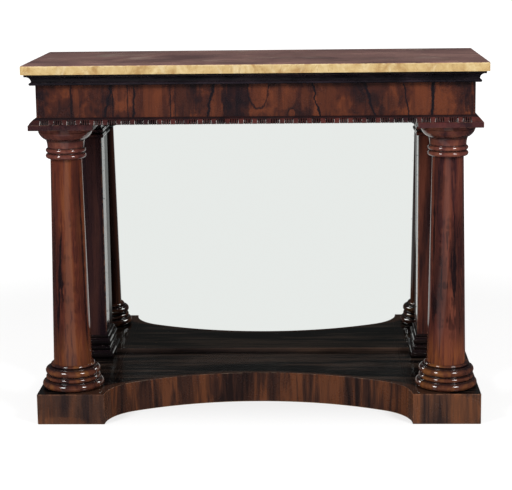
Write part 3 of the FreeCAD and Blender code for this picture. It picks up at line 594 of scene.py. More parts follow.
friezeRosewood = rosewoodFinish("friezeRosewood", {
    **ringLook, "stretch": (1, 1, 0.62), "fine": (1, 1, 0.06), "light": (99, 51, 32), "mid": (65, 33, 26),
    "dark": (41, 24, 24), "line": (22, 16, 22), "bandScale": 15.0, "smoke": 0.65, "streaks": 0.3,
    "rough": (0.2, 0.32), "gloss": 0.3, "jag": 5.0,
    "islands": [
        (0.0095, 0.856, 0.0262, 0.051, 0.85), (0.0913, 0.7905, 0.0095, 0.012, 0.85),
        (-0.096, 0.806, 0.021, 0.036, -0.85), (-0.088, 0.852, 0.011, 0.032, -0.75),
        (0.07, 0.832, 0.04, 0.034, -0.6), (-0.2525, 0.825, 0.046, 0.062, -0.7),
        (0.408, 0.825, 0.027, 0.062, -0.7), (0.214, 0.811, 0.03, 0.016, -0.7),
        (0.335, 0.82, 0.022, 0.03, -0.5), (-0.441, 0.822, 0.009, 0.05, -0.7),
        (-0.334, 0.85, 0.018, 0.03, -0.5),
    ],
    "inkLines": [(*line, 0.765, 0.888) for line in [
        (-0.548, -0.548, 0.022, 0.008, 1.0), (-0.4535, -0.4535, 0.0024, 0.012, 0.85),
        (-0.376, -0.349, 0.0042, 0.03, 1.0), (-0.35, -0.353, 0.002, 0.014, 0.9),
        (-0.378, -0.356, 0.019, 0.03, 0.75), (-0.314, -0.314, 0.0019, 0.01, 0.8),
        (-0.299, -0.298, 0.0037, 0.02, 0.95), (-0.2075, -0.2075, 0.0024, 0.008, 0.9),
        (-0.1966, -0.196, 0.0012, 0.006, 0.6), (-0.17, -0.17, 0.034, 0.02, 0.85),
        (-0.119, -0.097, 0.0048, 0.03, 1.0), (-0.047, -0.046, 0.035, 0.02, 1.0),
        (0.124, 0.124, 0.024, 0.02, 0.55), (0.163, 0.136, 0.0034, 0.03, 1.0),
        (0.18, 0.178, 0.022, 0.02, 0.5), (0.3, 0.2655, 0.0046, 0.024, 1.0),
        (0.383, 0.36, 0.0026, 0.02, 0.95), (0.434, 0.439, 0.0038, 0.014, 1.0),
        (0.546, 0.546, 0.034, 0.008, 1.0),
    ]] + [(0.246, 0.246, 0.026, 0.02, 0.65, 0.82, 0.91), (-0.48, -0.46, 0.03, 0.03, 0.4, 0.76, 0.83)],
})
plinthLook = {
    **ringLook, "stretch": (1, 1, 0.09), "fine": (1, 1, 0.04), "light": (112, 68, 44), "mid": (80, 53, 41),
    "dark": (48, 35, 33), "line": (30, 23, 25), "bandScale": 15.0, "smoke": 0.9, "streaks": 0.35,
    "lineShare": 0.2, "rough": (0.2, 0.34), "gloss": 0.3,
    "islands": [(0.525, 0.03, 0.045, 0.05, -0.7), (-0.5, 0.002, 0.07, 0.02, -0.5)],
    "inkLines": [(-0.44, -0.44, 0.06, 0.02, 0.35, -0.03, 0.11), (-0.53, -0.52, 0.03, 0.02, 0.4, 0.01, 0.11)],
}
plinthRosewood = rosewoodFinish("plinthRosewood", plinthLook)
bowRosewood = rosewoodFinish("bowRosewood", {
    **plinthLook, "light": (98, 57, 36), "mid": (58, 36, 29), "dark": (34, 23, 22), "streaks": 0.36,
    # the pale worn colour along the bow's top arris is partly wear and partly a painted highlight
    "worn": (150, 130, 108), "wornShare": 0.35, "islands": [], "inkLines": [],
})
platformRosewood = rosewoodFinish("platformRosewood", {
    **ringLook, "stretch": (0.06, 1, 1), "light": (54, 43, 37), "mid": (14, 12, 12), "dark": (6, 6, 7),
    "line": (8, 7, 9), "bandScale": 22.0, "smoke": 0.8, "streaks": 0.9, "rough": (0.1, 0.2), "gloss": 0.35,
    "bump": 0.1, "band": (-0.707, 0.6865, 0.016, (62, 40, 30)),
})
sillRosewood = rosewoodFinish("sillRosewood", {
    **ringLook, "stretch": (0.06, 1, 1), "light": (76, 58, 48), "mid": (50, 40, 36), "dark": (32, 26, 26),
    "gloss": 0.4,
})
# the tablets' pale worn colour paints the highlight ticks of the reeded tablets
tabletRosewood = rosewoodFinish("tabletRosewood", {
    **ringLook, "light": (84, 42, 38), "mid": (68, 35, 33), "dark": (44, 26, 29), "line": (14, 10, 14),
    "bandScale": 22.0, "worn": (222, 214, 210), "wornShare": 0.9, "rough": (0.22, 0.34), "gloss": 0.35,
    # the broad dark line on the left darkens the left tablets as painted shade
    "inkLines": [(-0.54, -0.54, 0.2, 0.0, 0.6, 0.7, 0.85)],
})
ebonised = rosewoodFinish("ebonisedWood", {
    **ringLook, "stretch": (0.2, 0.2, 1), "light": (40, 32, 38), "mid": (31, 25, 31), "dark": (20, 17, 22),
    "line": (8, 7, 10), "bandScale": 60.0, "worn": (62, 44, 36), "rough": (0.2, 0.34), "gloss": 0.2,
})


# pine: broad pale and dark growth rings along a direction, knots, grey dust
def pineFinish(name, stretch, look):
    material, tree, shader, place = newFinish(name)
    vector = place.stretched(stretch)
    light, mid, dark, line, dust = tintsOf(look, "light", "mid", "dark", "line", "dust")
    figure = useGroup(tree, woodFigure, {
        "Vector": vector, "Fine": vector, "Light": light, "Mid": mid, "Dark": dark, "Line": line,
        "Band Scale": 18.0, "Smoke": 0.2, "Streaks": 0.3, "Line Share": 0.55, "Line Width": 0.3,
    })
    cells = {"Vector": place, "Scale": look["knotScale"], "Randomness": 1.0}
    knot = addWire(tree, "ShaderNodeTexVoronoi", cells, "Distance")
    knot = knot + place.noise(look["frayScale"]) * look["fray"]
    colour = blend(knot.between(*look["knotReach"], 1.0, 0.0) * look["knotShare"], figure["Colour"], line)
    haze = useGroup(tree, handling, {"Vector": place, "Arris": 0.0})["Haze"]
    setInputs(shader, {
        "Base Color": blend(haze.between(*look["dustReach"], 0.0, look["dustShare"]), colour, dust),
        "Roughness": haze.between(*hazeReach, *look["rough"]), "Specular IOR Level": look["gloss"],
        "Normal": figure["Height"].bump(*look["bump"]),
    })
    return material


pineLook = {
    "light": (186, 146, 96), "mid": (162, 118, 72), "dark": (124, 84, 50), "line": (84, 54, 34),
    "dust": (120, 104, 84), "dustShare": 0.35, "knotScale": 5.0, "knotReach": (0.055, 0.1),
    "knotShare": 0.7, "frayScale": 60.0, "fray": 0.03, "dustReach": (0.45, 0.75), "bump": (0.2, 0.0008),
    "rough": (0.55, 0.8), "gloss": 0.25,
}
pineUpright = pineFinish("pineUpright", (1, 1, 0.06), pineLook)
pineAcross = pineFinish("pineAcross", (0.06, 1, 1), pineLook)
pineDeep = pineFinish("pineDeep", (1, 0.06, 1), pineLook)


# marble: clouds and grains of three tones, pale patches, level-curve veins; the shape's scales are in clouds
marbleShape = {
    "grainScale": 5, "paleScale": 0.8, "veinScale": 0.6, "midTone": (0.36, 0.52), "lightTone": (0.5, 0.64),
    "paleReach": (0.56, 0.7), "veins": 6.0, "veinWidth": 0.06, "wornShare": 0.5, "bump": (0.06, 0.0004),
}


def marbleFinish(name, look, shape=marbleShape):
    material, tree, shader, place = newFinish(name)
    dark, mid, light, pale, veinColour, worn = tintsOf(look, "dark", "mid", "light", "cloud", "vein", "worn")
    vector = place.stretched(look["stretch"], look["place"])
    scale, share = look["cloudScale"], look["grainShare"]
    cloud = vector.noise(scale, 5, 0.6, 1.2)
    grain = vector.noise(scale * shape["grainScale"], 5, 0.65, 0.5)
    tone = cloud * (1 - share) + grain * share
    colour = blend(tone.between(*shape["midTone"]), dark, mid)
    colour = blend(tone.between(*shape["lightTone"]), colour, light)
    second = vector.noise(scale * shape["paleScale"], 4, 0.6, 2.0)
    colour = blend(second.between(*shape["paleReach"], 0.0, look["cloudShare"]), colour, pale)
    vein = vector.noise(scale * shape["veinScale"], 5, 0.6, 1.5) * shape["veins"]
    line = vein.calc("PINGPONG", 0.5).between(0.0, shape["veinWidth"], look["veinShare"], 0.0)
    colour = blend(line, colour, veinColour)
    touch = useGroup(tree, handling, {"Vector": place, "Arris": pointMark(tree, "arris")})
    setInputs(shader, {
        "Base Color": blend(touch["Wear"] * shape["wornShare"], colour, worn),
        "Normal": grain.bump(*shape["bump"]),
        "Roughness": touch["Haze"].between(*hazeReach, *look["rough"]), "Specular IOR Level": look["gloss"],
    })
    return material


yellowMarble = marbleFinish("yellowMarble", {
    "stretch": (0.9, 0.9, 0.7), "place": (0.2, 0, 0.1), "cloudScale": 16.0, "grainShare": 0.35,
    "light": (211, 188, 139), "mid": (197, 169, 117), "dark": (168, 133, 85), "cloud": (214, 197, 158),
    "cloudShare": 0.6, "vein": (150, 106, 58), "veinShare": 0.4, "worn": (232, 214, 168),
    "rough": (0.25, 0.4), "gloss": 0.3,
})
mauveMarble = marbleFinish("mauveMarble", {
    "stretch": (0.6, 0.9, 1.0), "place": (0, 0.3, 0), "cloudScale": 6.5, "grainShare": 0.25,
    "light": (161, 122, 114), "mid": (139, 103, 98), "dark": (109, 78, 77), "cloud": (177, 156, 143),
    "cloudShare": 0.6, "vein": (104, 90, 62), "veinShare": 0.35, "worn": (170, 142, 108),
    "rough": (0.14, 0.24), "gloss": 0.2,
})


# silvered plate: bright metal under a faint ripple, dulled in spots near its edges; nearly black to diffuse
# rays, so that it passes little light on, which paints shade on the column backs seen in it
def mirrorFinish(look):
    material, tree, shader, place = newFinish("silveredPlate")
    low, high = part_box("mirror_plate")
    x, _, z = place.parts()
    fromEnds = (z - low.z).calc("MINIMUM", high.z - z)
    edge = (high.x - abs(x)).calc("MINIMUM", fromEnds).between(0.0, look["edgeReach"], 1.0, 0.0)
    spots = place.noise(look["spotScale"], 4, 0.7).between(*look["spots"])
    foxing = edge * spots * look["foxing"]
    colour = blend(foxing, look["silver"], tint(*look["spot"]))
    scattered = addWire(tree, "ShaderNodeLightPath", output="Is Diffuse Ray")
    ripple = place.stretched((0.6, 1, 1)).noise(look["rippleScale"], 1, 0.4)
    setInputs(shader, {
        "Base Color": blend(scattered, colour, look["scattered"]), "Roughness": foxing * look["dulled"],
        "Metallic": 1.0, "Normal": ripple.bump(*look["ripple"]),
    })
    return material


silvered = mirrorFinish({
    "silver": (0.74, 0.765, 0.745, 1.0), "scattered": (0.06, 0.06, 0.06, 1.0), "spot": (96, 92, 84),
    "edgeReach": 0.03, "foxing": 0.2, "dulled": 0.3, "spotScale": 130.0, "spots": (0.6, 0.72),
    "rippleScale": 5.0, "ripple": (0.02, 0.0004),
})


# old iron: dark metal with brown rust in patches
def ironFinish(look):
    material, tree, shader, place = newFinish("oldIron")
    rust = place.noise(look["rustScale"], 4, 0.65).between(*look["rustReach"])
    setInputs(shader, {
        "Base Color": blend(rust, *tintsOf(look, "metal", "rust")), "Normal": rust.bump(*look["bump"]),
        "Roughness": rust.between(0.0, 1.0, *look["rough"]),
        "Metallic": rust.between(0.0, 1.0, *look["metallic"]),
    })
    return material


oldIron = ironFinish({
    "metal": (74, 70, 68), "rust": (94, 58, 38), "rough": (0.35, 0.75), "metallic": (0.9, 0.1),
    "rustScale": 380.0, "rustReach": (0.45, 0.6), "bump": (0.3, 0.0003),
})
print("finishes:", len(bpy.data.materials))


# nodes shown as the frame has them, with finishes of their own

nodeFinish = {
    "mirror_plate": silvered, "mirror_sill": sillRosewood, "platform_board": platformRosewood,
    "frieze_front_rail": pineAcross, "frieze_back_rail": pineAcross, "frieze_soffit": pineAcross,
    "frieze_right_rail": pineDeep, "frieze_left_rail": pineDeep, "frieze_cross_rail": pineDeep,
    "platform_front_rail": pineAcross, "plinth_back_rail": pineAcross, "plinth_bearer": pineDeep,
    "plinth_glue_blocks": pineDeep, "right_column_block": pineUpright, "left_column_block": pineUpright,
    "right_plinth_end": pineUpright, "left_plinth_end": pineUpright,
}
for nodeName, finish in nodeFinish.items():
    mesh = nodes[nodeName].data
    mesh.materials.clear()
    mesh.materials.append(finish)


# marble slab: a plan with softened corners, its upper arris worn a little unevenly
slabLook = {
    "arris": 2.0 * mm, "corner": 5.0 * mm, "spacing": 4.0 * mm, "leastGap": 0.2 * mm, "worn": 0.5 * mm,
    "flush": 0.1 * mm, "chipWaves": (310, 170, 83, 127),
}


def makeSlab(look):
    low, high = (np.array(corner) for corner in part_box("marble_top"))
    corners = np.array([low[:2], [high[0], low[1]], high[:2], [low[0], high[1]]])
    rounded, _ = softOutline(corners, look["corner"], closed=True, steps=8)
    rounded = np.concatenate([rounded, rounded[:1]])
    run = np.r_[0, np.cumsum(np.linalg.norm(np.diff(rounded, axis=0), axis=1))]
    stations = np.union1d(run[:-1], np.arange(0, run[-1], look["spacing"]))
    stations = stations[np.diff(stations, append=run[-1]) > look["leastGap"]]
    outline = np.stack([np.interp(stations, run, rounded[:, axis]) for axis in (0, 1)], 1)
    points, faces, arris = uprightSurface(outline, low[2], high[2], look["arris"])
    x, y, z = points.T
    fast, sway, slowX, slowY = look["chipWaves"]
    chip = np.sin(x * fast + np.sin(y * sway)) * np.sin(x * slowX + y * slowY)
    points[:, 2] -= arris * look["worn"] * np.clip(chip, 0, 1) * (z < high[2] - look["flush"])
    top = np.zeros(len(faces), int)
    top[-1] = 1
    top[-2 - 3 * len(outline):-2] = 1  # the rim and the two upper turns of the arris
    finishes = [yellowMarble, mauveMarble]
    addPiece("marbleSlab", points, faces, finishes, "marble", ["marble_top"], "slab", top, arris=arris)


makeSlab(slabLook)


# frieze veneer: a thin band round three sides, its front corners softened
friezeShape = {"skin": 1.5 * mm, "corner": 1.2 * mm}


def makeFrieze(look):
    low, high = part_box("frieze_front_veneer")
    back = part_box("frieze_right_veneer")[1].y
    corners = [[low.x, back], [low.x, low.y], [high.x, low.y], [high.x, back]]
    path, _ = softOutline(corners, look["corner"])
    outward = pathOutward(path)
    outward[0], outward[-1] = (-1, 0), (1, 0)
    out = np.array([0, 0, -look["skin"], -look["skin"]])
    up = np.array([low.z, high.z, high.z, low.z])
    points, faces = sweptSurface(path, outward, out, up)
    stands = ["frieze_front_veneer", "frieze_right_veneer", "frieze_left_veneer"]
    addPiece("friezeVeneer", points, faces, [friezeRosewood], "rosewood_veneer", stands)


makeFrieze(friezeShape)


# cornice: flat, hollow, quirk and bead carried round three sides
corniceShape = {
    "fillet": 6 * mm, "hollow": 13 * mm, "quirk": 2 * mm, "bead": 7 * mm, "projection": 24 * mm,
    "shoulder": 21 * mm, "root": 9 * mm, "beadProjection": 14 * mm, "arris": 0.7 * mm,
}


def makeCornice(look):
    low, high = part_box("frieze_front_veneer")
    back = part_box("cornice_right")[1].y
    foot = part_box("cornice_front")[0].z
    quirkZ = look["bead"]
    hollowZ = quirkZ + look["quirk"]
    shoulderZ = hollowZ + look["hollow"]
    top = shoulderZ + look["fillet"]
    bead = ringPoints(look["beadProjection"], look["bead"], 0, 11)
    rise, reach = look["hollow"], look["shoulder"] - look["root"]
    centreX = look["root"] + (reach ** 2 + rise ** 2) / (2 * reach)  # centre level with the hollow's foot
    radius = centreX - look["root"]
    end = math.degrees(math.asin(rise / radius))
    hollow = arcPoints((centreX, hollowZ), radius, 180, 180 - end, 12)
    outline = np.concatenate([
        [[0, 0]], bead, [[look["root"], quirkZ]], hollow,
        [[look["projection"], shoulderZ], [look["projection"], top], [0, top]],
    ])
    outline, arris = softOutline(outline, look["arris"], straight=30)
    path, outward = threeSides(low.x, high.x, low.y, back)
    points, faces = sweptSurface(path, outward, outline[:, 0], foot + outline[:, 1])
    stands = ["cornice_front", "cornice_right", "cornice_left"]
    arris = np.tile(arris, len(path))
    addPiece("corniceRun", points, faces, [ebonised], "ebonised_wood", stands, arris=arris)


makeCornice(corniceShape)


# tablet moulding: a swelling slope round three sides; within each reeded tablet the face sinks to its
# floor at the cuts and stands as half-round reeds between them; the cuts, the reeded tablets and a band
# along the top are darkened as painted shade, and pale ticks near the reeded tablets' ends are painted
# highlights
tabletShape = {
    "height": 17 * mm, "projection": 16.5 * mm, "lip": 3 * mm, "topProjection": 2 * mm,
    "faceRadius": 60 * mm, "pitch": 33.6 * mm, "reedPitch": 5.8 * mm, "cutWidth": 2.2 * mm,
    "cutDepth": 5 * mm, "cuts": 4, "arris": 0.6 * mm, "reedTop": 0.7, "reedFade": 0.1, "tickTop": 0.5,
    "quirk": 0.7, "reedShade": 0.45, "innerHighlight": 0.25, "endHighlight": 4.0,
}


# stations along a run of tablets, how far the face sinks at each, 0 at the face and 1 at the floor, how much
# painted highlight it gets, most at the two ends of each reeded tablet, and 1 within a reeded tablet, for its
# painted shade
def tabletStations(run, look):
    count = math.floor(run / look["pitch"])
    width = look["reedPitch"] * (look["cuts"] - 1) + look["cutWidth"]
    first = (run - look["pitch"] * count) / 2 + (look["pitch"] - width) / 2
    half = look["cutWidth"] / 2
    edge = np.array([-1.9, -1.5, -1.2, -1.0, -0.8, 0.8, 1.0, 1.2, 1.5, 1.9]) * half
    sink = np.array([0.0, 0.05, 0.2, 0.5, 1.0, 1.0, 0.5, 0.2, 0.05, 0.0])
    middle = first + half + np.arange(look["cuts"]) * look["reedPitch"]
    starts = np.arange(count) * look["pitch"]
    at = (starts[:, None, None] + middle[None, :, None] + edge[None, None, :]).ravel()
    # painted highlight: faint on the reeds' crowns, strong as ticks at each reeded tablet's two ends
    crown = np.tile(look["innerHighlight"] * ((sink > 0) & (sink < 0.3)), (look["cuts"], 1))
    crown[0, 1:4], crown[-1, 6:9] = look["endHighlight"], look["endHighlight"]
    reeded = np.ones(crown.shape)
    reeded[0, 0], reeded[-1, -1] = 0, 0
    marks = (np.tile(sink, look["cuts"]), crown.ravel(), reeded.ravel())
    return at, *(np.tile(mark, count) for mark in marks)


def makeTablets(look):
    low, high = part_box("frieze_front_veneer")
    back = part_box("tablet_moulding_right")[1].y
    face = bulgeArc(
        (look["projection"], look["lip"]), (look["topProjection"], look["height"]), look["faceRadius"]
    )
    outline = np.concatenate([[[0, 0], [look["projection"], 0]], face, [[0, look["height"]]]])
    outline, _ = softOutline(outline, look["arris"], guard=1 * mm, straight=30)
    floor = look["projection"] - look["cutDepth"]
    floorOut = floor + (look["topProjection"] - floor) * outline[:, 1] / look["height"]
    floorOut = np.minimum(floorOut, outline[:, 0])
    frontRun, sideRun = high.x - low.x, back - low.y
    frontAt, *frontMarks = tabletStations(frontRun, look)
    sideAt, *sideMarks = tabletStations(sideRun, look)
    path = np.concatenate([
        [[low.x, back]], np.stack([np.full(len(sideAt), low.x), back - sideAt], 1), [[low.x, low.y]],
        np.stack([low.x + frontAt, np.full(len(frontAt), low.y)], 1), [[high.x, low.y]],
        np.stack([np.full(len(sideAt), high.x), low.y + sideAt], 1), [[high.x, back]],
    ])
    outward = np.concatenate([
        np.tile([-1.0, 0], (len(sideAt) + 1, 1)), [[-1, -1]], np.tile([0, -1.0], (len(frontAt), 1)),
        [[1, -1]],
        np.tile([1.0, 0], (len(sideAt) + 1, 1)),
    ])
    sink, crown, reeded = (
        np.concatenate([[0], onSide, [0], onFront, [0], onSide, [0]])[:, None]
        for onSide, onFront in zip(sideMarks, frontMarks)
    )
    onFace = (outline[:, 1] > 0) & (outline[:, 1] < look["height"]) & (outline[:, 0] > 0)
    level = outline[:, 1] / look["height"]
    sink = sink * np.clip(
        (look["reedTop"] - level) / look["reedFade"], 0, 1
    )  # the reeds stop short of a quirk band darkened as painted shadow
    out = outline[:, 0] + sink * (floorOut - outline[:, 0])
    points, faces = sweptSurface(path, outward, out, low.z + outline[:, 1])
    stands = ["tablet_moulding_front", "tablet_moulding_right", "tablet_moulding_left"]
    # painted shade in the cuts, over each reeded tablet and in the quirk band along the top; the arris mark
    # carries the painted highlight ticks on the lower part
    addPiece("tabletRun", points, faces, [tabletRosewood], "rosewood", stands, sharp=50,
             arris=crown * (onFace & (level < look["tickTop"])),
             recess=np.maximum(np.maximum(sink, reeded * look["reedShade"]), level > look["quirk"]) * onFace)


makeTablets(tabletShape)


# ring stacks of the columns and pilasters, as outlines (out, up) from the foot
baseRings = {"heights": (19.5 * mm, 11.5 * mm, 18.5 * mm, 8 * mm), "fillet": 2 * mm}
capitalRings = {
    "lower": 13 * mm, "upper": 11 * mm, "neck": 17 * mm, "echinus": 21 * mm, "echinusRadius": 32 * mm,
    "crown": 10 * mm, "fillet": 2 * mm, "quirk": 1.4 * mm, "shade": 4 * mm,
}
ringSoftness = {"guard": 0.4 * mm, "straight": 35}


def baseOutline(reaches):
    z, parts = 0.0, []
    for reach, height in zip(reaches, baseRings["heights"]):
        parts.append(ringPoints(reach, height, z))
        z += height
        parts.append([[reach - height / 2, z + baseRings["fillet"]]])
        z += baseRings["fillet"]
    return np.concatenate(parts[:-1])


# arc from start to end whose centre stands at the height centreZ
def levelArc(start, end, centreZ, count=12):
    (x0, z0), (x1, z1) = start, end
    centreX = ((x1 ** 2 - x0 ** 2) + (z1 - centreZ) ** 2 - (z0 - centreZ) ** 2) / (2 * (x1 - x0))
    first = math.degrees(math.atan2(z0 - centreZ, x0 - centreX))
    last = math.degrees(math.atan2(z1 - centreZ, x1 - centreX))
    last += 360 * round((first - last) / 360)
    return arcPoints((centreX, centreZ), math.hypot(x0 - centreX, z0 - centreZ), first, last, count)


def capitalOutline(lower, upper, neck, collar, crown):
    rings = capitalRings
    upperZ = rings["lower"] + rings["fillet"]
    neckZ = upperZ + rings["upper"] + rings["fillet"]
    collarZ = neckZ + rings["neck"]
    echinusZ = collarZ + rings["fillet"]
    crownZ = echinusZ + rings["echinus"]
    top = crownZ + rings["crown"]
    quirk = rings["quirk"]
    return np.concatenate([
        ringPoints(lower, rings["lower"], 0.0), [[lower - rings["lower"] / 2, upperZ]],
        ringPoints(upper, rings["upper"], upperZ), [[upper - rings["upper"] / 2, neckZ]],
        levelArc((neck, neckZ), (collar, collarZ), neckZ),
        bulgeArc((collar, echinusZ), (crown, crownZ), rings["echinusRadius"]),
        [[crown - quirk, crownZ], [crown - quirk, crownZ + quirk], [crown, crownZ + quirk]],
        [[crown, top - rings["shade"]], [crown, top]],
    ])


columnShape = {
    "base": (79 * mm, 70 * mm, 70.5 * mm, 57 * mm),
    "capital": (51 * mm, 50.5 * mm, 46 * mm, 48.5 * mm, 68 * mm), "shaftFoot": 49 * mm,
    "shaftHead": 39.5 * mm, "shaftRows": 40, "sides": 128, "arris": 0.5 * mm, "abacusArris": 1.2 * mm,
}


def makeColumn(side, look):
    low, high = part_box(f"{side}_column_base")
    axis = ((low.x + high.x) / 2, (low.y + high.y) / 2)
    sides = look["sides"]
    foot, head = high.z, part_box(f"{side}_capital")[0].z
    stacks = [
        ("base", "column_base", baseOutline(look["base"]), low.z),
        ("capital", "capital", capitalOutline(*look["capital"]), head),
    ]
    for label, node, made, z in stacks:
        outline, mark = softOutline(made, look["arris"], **ringSoftness)
        points, faces = turnedSurface(outline + [0, z], axis, sides)
        recess = recessOf(outline)
        recess[-1] = label == "capital"  # painted shadow under the abacus
        addPiece(f"{side}{label.title()}", points, faces, [ringFinish[label]], "rosewood", [f"{side}_{node}"],
                 arris=np.repeat(mark, sides), recess=np.repeat(recess, sides))
    share = np.linspace(0, 1, look["shaftRows"])
    radius = look["shaftFoot"] + share * (look["shaftHead"] - look["shaftFoot"])
    shaft = np.stack([radius, foot + share * (head - foot)], 1)
    points, faces = turnedSurface(shaft, axis, sides)
    addPiece(f"{side}Shaft", points, faces, [columnFinish[side]], "rosewood", [f"{side}_column_shaft"])
    points, faces, arris = softBlock(*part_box(f"{side}_abacus"), look["abacusArris"])
    addPiece(f"{side}Abacus", points, faces, [abacusRosewood], "rosewood", [f"{side}_abacus"], arris=arris)


# pilasters: a rebated post with soft front arrises, ring mouldings mitred round its three faces
pilasterShape = {
    "base": (19 * mm, 10 * mm, 11.5 * mm, 5 * mm), "capital": (7 * mm, 6.5 * mm, 0.5 * mm, 3 * mm, 20 * mm),
    "lap": 10 * mm, "arris": 1.2 * mm, "headArris": 0.2 * mm, "ringArris": 0.5 * mm,
}


def makePilaster(side, look):
    low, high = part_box(f"{side}_pilaster")
    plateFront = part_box("mirror_plate")[0].y
    lap = low.x + look["lap"] if side == "right" else high.x - look["lap"]
    inner, outer = (low.x, high.x) if side == "right" else (high.x, low.x)
    plan = [[inner, low.y], [outer, low.y], [outer, high.y], [lap, high.y]]
    plan += [[lap, plateFront], [inner, plateFront]]
    plan = plan if side == "right" else plan[::-1]
    outline, mark = softOutline(plan, look["arris"], closed=True)
    points, faces, _ = uprightSurface(outline, low.z, high.z, look["headArris"])
    arris = np.tile(mark, len(points) // len(outline))
    finish = pilasterFinish[side]
    addPiece(f"{side}Pilaster", points, faces, [finish], "rosewood", [f"{side}_pilaster"], arris=arris)
    path, outward = threeSides(low.x, high.x, low.y, plateFront)
    stacks = [
        ("base", baseOutline(look["base"]), footRosewood),
        ("capital", capitalOutline(*look["capital"]), finish),
    ]
    for label, made, finish in stacks:
        node = f"{side}_pilaster_{label}"
        closed = np.concatenate([[[0, 0]], made, [[0, made[-1, 1]]]])
        rings, mark = softOutline(closed, look["ringArris"], **ringSoftness)
        points, faces = sweptSurface(path, outward, rings[:, 0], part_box(node)[0].z + rings[:, 1])
        addPiece(f"{side}Pilaster{label.title()}", points, faces, [finish], "rosewood", [node],
                 arris=np.tile(mark, len(path)), recess=np.tile(recessOf(rings), len(path)))


# plinth: the hollow front is a three-centred curve, tight arcs at the ends and a wide one between
bowShape = {"lap": 11 * mm, "depth": 192 * mm, "endRadius": 125 * mm, "skin": 1.5 * mm, "arris": 1.0 * mm}


# points of the hollow from x = -reach to x = reach, y from the plinth's front, with the way out of the hollow
def bowCurve(reach, look):
    half, depth, endRadius = reach + look["lap"], look["depth"], look["endRadius"]
    tightX = half - endRadius
    wide = (half ** 2 + depth ** 2 - 2 * half * endRadius) / (2 * (depth - endRadius))
    turn = math.degrees(math.atan2(wide - depth, tightX))
    last = math.degrees(math.acos((reach - tightX) / endRadius))
    right = arcPoints((tightX, 0), endRadius, last, turn, 24)
    middle = arcPoints((0, depth - wide), wide, turn, 180 - turn, 96)
    left = right[::-1] * [-1, 1]
    return np.concatenate([right, middle[1:-1], left])[::-1]


def makeBowVeneer(look):
    low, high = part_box("platform_front_veneer")
    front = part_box("right_plinth_front_veneer")[0].y
    path = bowCurve(high.x, look) + [0, front]
    skin, top = look["skin"], high.z - low.z
    outline, mark = softOutline([[-skin, 0], [0, 0], [0, top], [-skin, top]], look["arris"])
    points, faces = sweptSurface(path, pathOutward(path), outline[:, 0], low.z + outline[:, 1])
    addPiece("bowVeneer", points, faces, [bowRosewood], "rosewood_veneer", ["platform_front_veneer"],
             arris=np.tile(mark, len(path)))


# each end is one casing round its core, a hair short of it inside and behind; its top is dark like the
# platform
plinthShape = {**bowShape, "short": 0.2 * mm, "corner": 1.6 * mm, "fadeIn": 2 * mm}


def makePlinthEnd(side, look):
    low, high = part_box("right_plinth_top_veneer")
    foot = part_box("right_plinth_front_veneer")[0].z
    inner, back = low.x + look["short"], high.y - look["short"]
    middle = low.x + look["lap"] - look["endRadius"]
    last = math.degrees(math.acos((inner - middle) / look["endRadius"]))
    arc = arcPoints((middle, low.y), look["endRadius"], last, 0, 12)
    plan = np.concatenate([[[inner, back]], arc, [[high.x, low.y], [high.x, back]]])
    outline, mark = softOutline(plan, look["corner"], closed=True)
    share = np.clip((outline[:, 0] - inner) / look["fadeIn"], 0, 1)  # no soft arris beside the platform
    points, faces, arris = uprightSurface(outline, foot, high.z, look["arris"], share)
    arris = np.maximum(arris, np.tile(mark, len(points) // len(outline)))
    arris[-2 * len(outline):] = 0
    top = np.zeros(len(faces), int)
    top[-1] = 1
    if side == "left":
        points[:, 0] *= -1
    stands = [f"{side}_plinth_{part}_veneer" for part in ("front", "side", "top")]
    finishes = [plinthRosewood, platformRosewood]
    addPiece(f"{side}PlinthCasing", points, faces, finishes, "rosewood_veneer", stands,
             faceFinish=top, arris=arris)


for side in ("right", "left"):
    makeColumn(side, columnShape)
    makePilaster(side, pilasterShape)
    makePlinthEnd(side, plinthShape)
makeBowVeneer(bowShape)


# back boards: one plan outline with a shallow vee where each board meets the next
backShape = {"boards": 7, "vee": 1.6 * mm, "arris": 0.5 * mm, "headArris": 0.2 * mm}


def makeBackBoards(look):
    low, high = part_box("mirror_backboard")
    seam = np.linspace(high.x, low.x, look["boards"] + 1)[1:-1]
    vee = look["vee"]
    notchX = np.stack([seam + vee, seam, seam - vee], 1)
    notchY = np.tile([high.y, high.y - vee, high.y], (len(seam), 1))
    notch = np.stack([notchX, notchY], -1).reshape(-1, 2)
    plan = np.concatenate([[[low.x, low.y], [high.x, low.y], [high.x, high.y]], notch, [[low.x, high.y]]])
    outline, _ = softOutline(plan, look["arris"], closed=True)
    points, faces, _ = uprightSurface(outline, low.z, high.z, look["headArris"])
    addPiece("backBoards", points, faces, [pineUpright], "pine", ["mirror_backboard"])


makeBackBoards(backShape)


# screws: a low dome on each head, pressed in along a slot; discs of rings and sides facing the back
screwShape = {
    "perSide": 4, "endDistance": 60 * mm, "radius": 4.4 * mm, "dome": 0.7 * mm, "slot": 0.5 * mm,
    "slotDepth": 0.9 * mm, "length": 3 * mm, "sides": 32, "firstTurn": 0.3, "nextTurn": 0.7,
    "rings": (0.02, 0.12, 0.2, 0.35, 0.6, 0.85, 1.0, 0.98),
}


